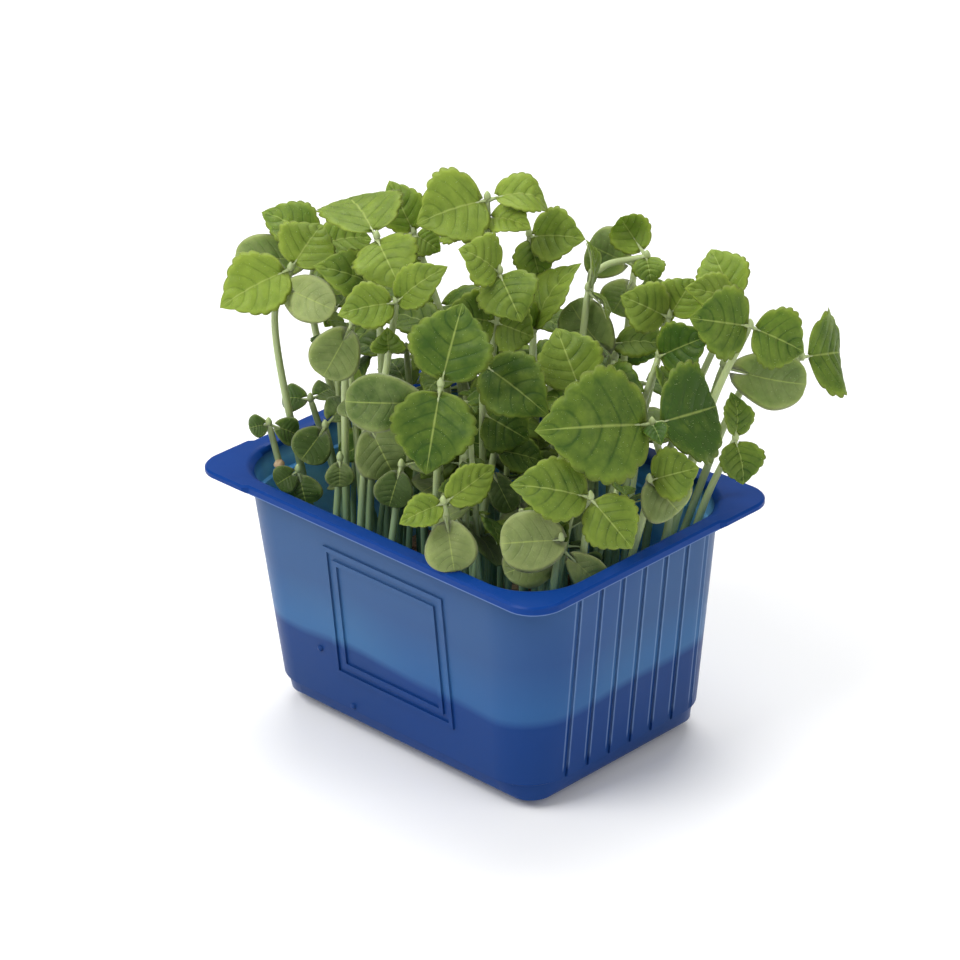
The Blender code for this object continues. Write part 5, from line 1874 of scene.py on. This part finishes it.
class SeedlingOptions(bpy.types.PropertyGroup):
    """Looks of the stems, leaves and hairs"""
    # Leaves' tints run between the dark and the light colours below: partly age, partly painted light on high
    # leaves and painted shade on low and shaded ones
    light_colour: colour_setting("Young leaf", "Colour of the palest leaves", (0.215, 0.295, 0.036))
    dark_colour: colour_setting("Old leaf", "Colour of the darkest leaves", (0.035, 0.078, 0.007))
    under_colour: colour_setting("Underside", "Colour of a leaf's underside", (0.17, 0.215, 0.06))
    under_dark_colour: colour_setting("Old underside", "Darkest underside", (0.06, 0.10, 0.02))
    seed_leaf_colour: colour_setting("Seed leaf", "Colour of the round seed leaves", (0.27, 0.325, 0.11))
    seed_dark_colour: colour_setting("Old seed leaf", "Darkest seed leaf", (0.05, 0.088, 0.016))
    vein_colour: colour_setting("Vein", "Colour of the veins", (0.36, 0.44, 0.11))
    stem_colour: colour_setting("Stem", "Colour of the stems over the rim", (0.40, 0.48, 0.22))
    # Painted shade and blue light through the wall on the stems inside the tray
    stem_shaded_foot_colour: colour_setting("Stem foot", "Colour of the stems in the tray", (0.09, 0.25, 0.20))
    hair_colour: colour_setting("Hair", "Colour of the hairs", (0.42, 0.50, 0.28))
    tooth_depth: share_setting("Tooth depth", "Depth of a tooth as a part of the half width", 0.065)
    pucker: length_setting("Quilting", "Height of the blade between its veins", 0.42)
    blade_thickness: length_setting("Blade", "Thickness of a blade", 0.36)
    hairs: IntProperty(name="Hairs", description="Hairs over all the seedlings", default=14000, min=0)
    hair_length: length_setting("Hair length", "Length of a hair", 0.4)


class StageOptions(bpy.types.PropertyGroup):
    """Floor and lights"""
    floor_colour: colour_setting("Floor", "Colour of the floor", (0.97, 0.97, 0.97))
    floor_size: FloatProperty(name="Floor size", description="Width of the floor", default=6.0,
                              subtype="DISTANCE", unit="LENGTH")
    key_power: power_setting("Key light", "Power of the main light", 5.2)
    fill_power: power_setting("Fill light", "Power of the second light", 2.0)
    top_power: power_setting("Top light", "Power of the light over the back", 4.6)
    world_strength: FloatProperty(name="Sky", description="Strength of the light all round", default=0.42)


# Operators
class MICROGREENS_OT_tray(bpy.types.Operator):
    """Build the moulded tray"""
    bl_idname = "microgreens.tray"
    bl_label = "Tray"

    def execute(self, context):
        build_tray(context.scene.microgreens_tray)
        return {"FINISHED"}


class MICROGREENS_OT_mat(bpy.types.Operator):
    """Build the growing mat, its strands and its husks"""
    bl_idname = "microgreens.mat"
    bl_label = "Growing mat"

    def execute(self, context):
        build_mat(context.scene.microgreens_mat)
        return {"FINISHED"}


class MICROGREENS_OT_seedlings(bpy.types.Operator):
    """Build every seedling with its stem and leaves"""
    bl_idname = "microgreens.seedlings"
    bl_label = "Seedlings"

    def execute(self, context):
        build_seedlings(context.scene.microgreens_seedlings)
        return {"FINISHED"}


class MICROGREENS_OT_hairs(bpy.types.Operator):
    """Scatter the fine hairs over the seedlings"""
    bl_idname = "microgreens.hairs"
    bl_label = "Hairs"

    def execute(self, context):
        build_hairs(context.scene.microgreens_seedlings)
        return {"FINISHED"}


class MICROGREENS_OT_stage(bpy.types.Operator):
    """Lay the floor and set the lights and the camera"""
    bl_idname = "microgreens.stage"
    bl_label = "Stage"

    def execute(self, context):
        build_stage(context.scene.microgreens_stage)
        return {"FINISHED"}


class MICROGREENS_PT_panel(bpy.types.Panel):
    """Pieces of the microgreens tray"""
    bl_label = "Microgreens tray"
    bl_idname = "MICROGREENS_PT_panel"
    bl_space_type = "VIEW_3D"
    bl_region_type = "UI"
    bl_category = "Microgreens"

    def draw(self, context):
        for operator, label in PIECES:
            self.layout.operator(operator.bl_idname)
            options = getattr(context.scene, label)
            for name in options.bl_rna.properties.keys():
                if name not in ("rna_type", "name"):
                    self.layout.prop(options, name)


PIECES = (
    (MICROGREENS_OT_tray, "microgreens_tray"), (MICROGREENS_OT_mat, "microgreens_mat"),
    (MICROGREENS_OT_seedlings, "microgreens_seedlings"), (MICROGREENS_OT_hairs, "microgreens_seedlings"),
    (MICROGREENS_OT_stage, "microgreens_stage"))
OPTIONS = {
    "microgreens_tray": TrayOptions, "microgreens_mat": MatOptions,
    "microgreens_seedlings": SeedlingOptions, "microgreens_stage": StageOptions}


def register():
    for label, options in OPTIONS.items():
        bpy.utils.register_class(options)
        setattr(bpy.types.Scene, label, PointerProperty(type=options))
    for operator, _ in PIECES:
        bpy.utils.register_class(operator)
    bpy.utils.register_class(MICROGREENS_PT_panel)


def unregister():
    bpy.utils.unregister_class(MICROGREENS_PT_panel)
    for operator, _ in reversed(PIECES):
        bpy.utils.unregister_class(operator)
    for label, options in OPTIONS.items():
        delattr(bpy.types.Scene, label)
        bpy.utils.unregister_class(options)


def main():
    register()
    bpy.ops.microgreens.tray()
    bpy.ops.microgreens.mat()
    bpy.ops.microgreens.seedlings()
    bpy.ops.microgreens.hairs()
    bpy.ops.microgreens.stage()


if __name__ == "__main__":
    main()
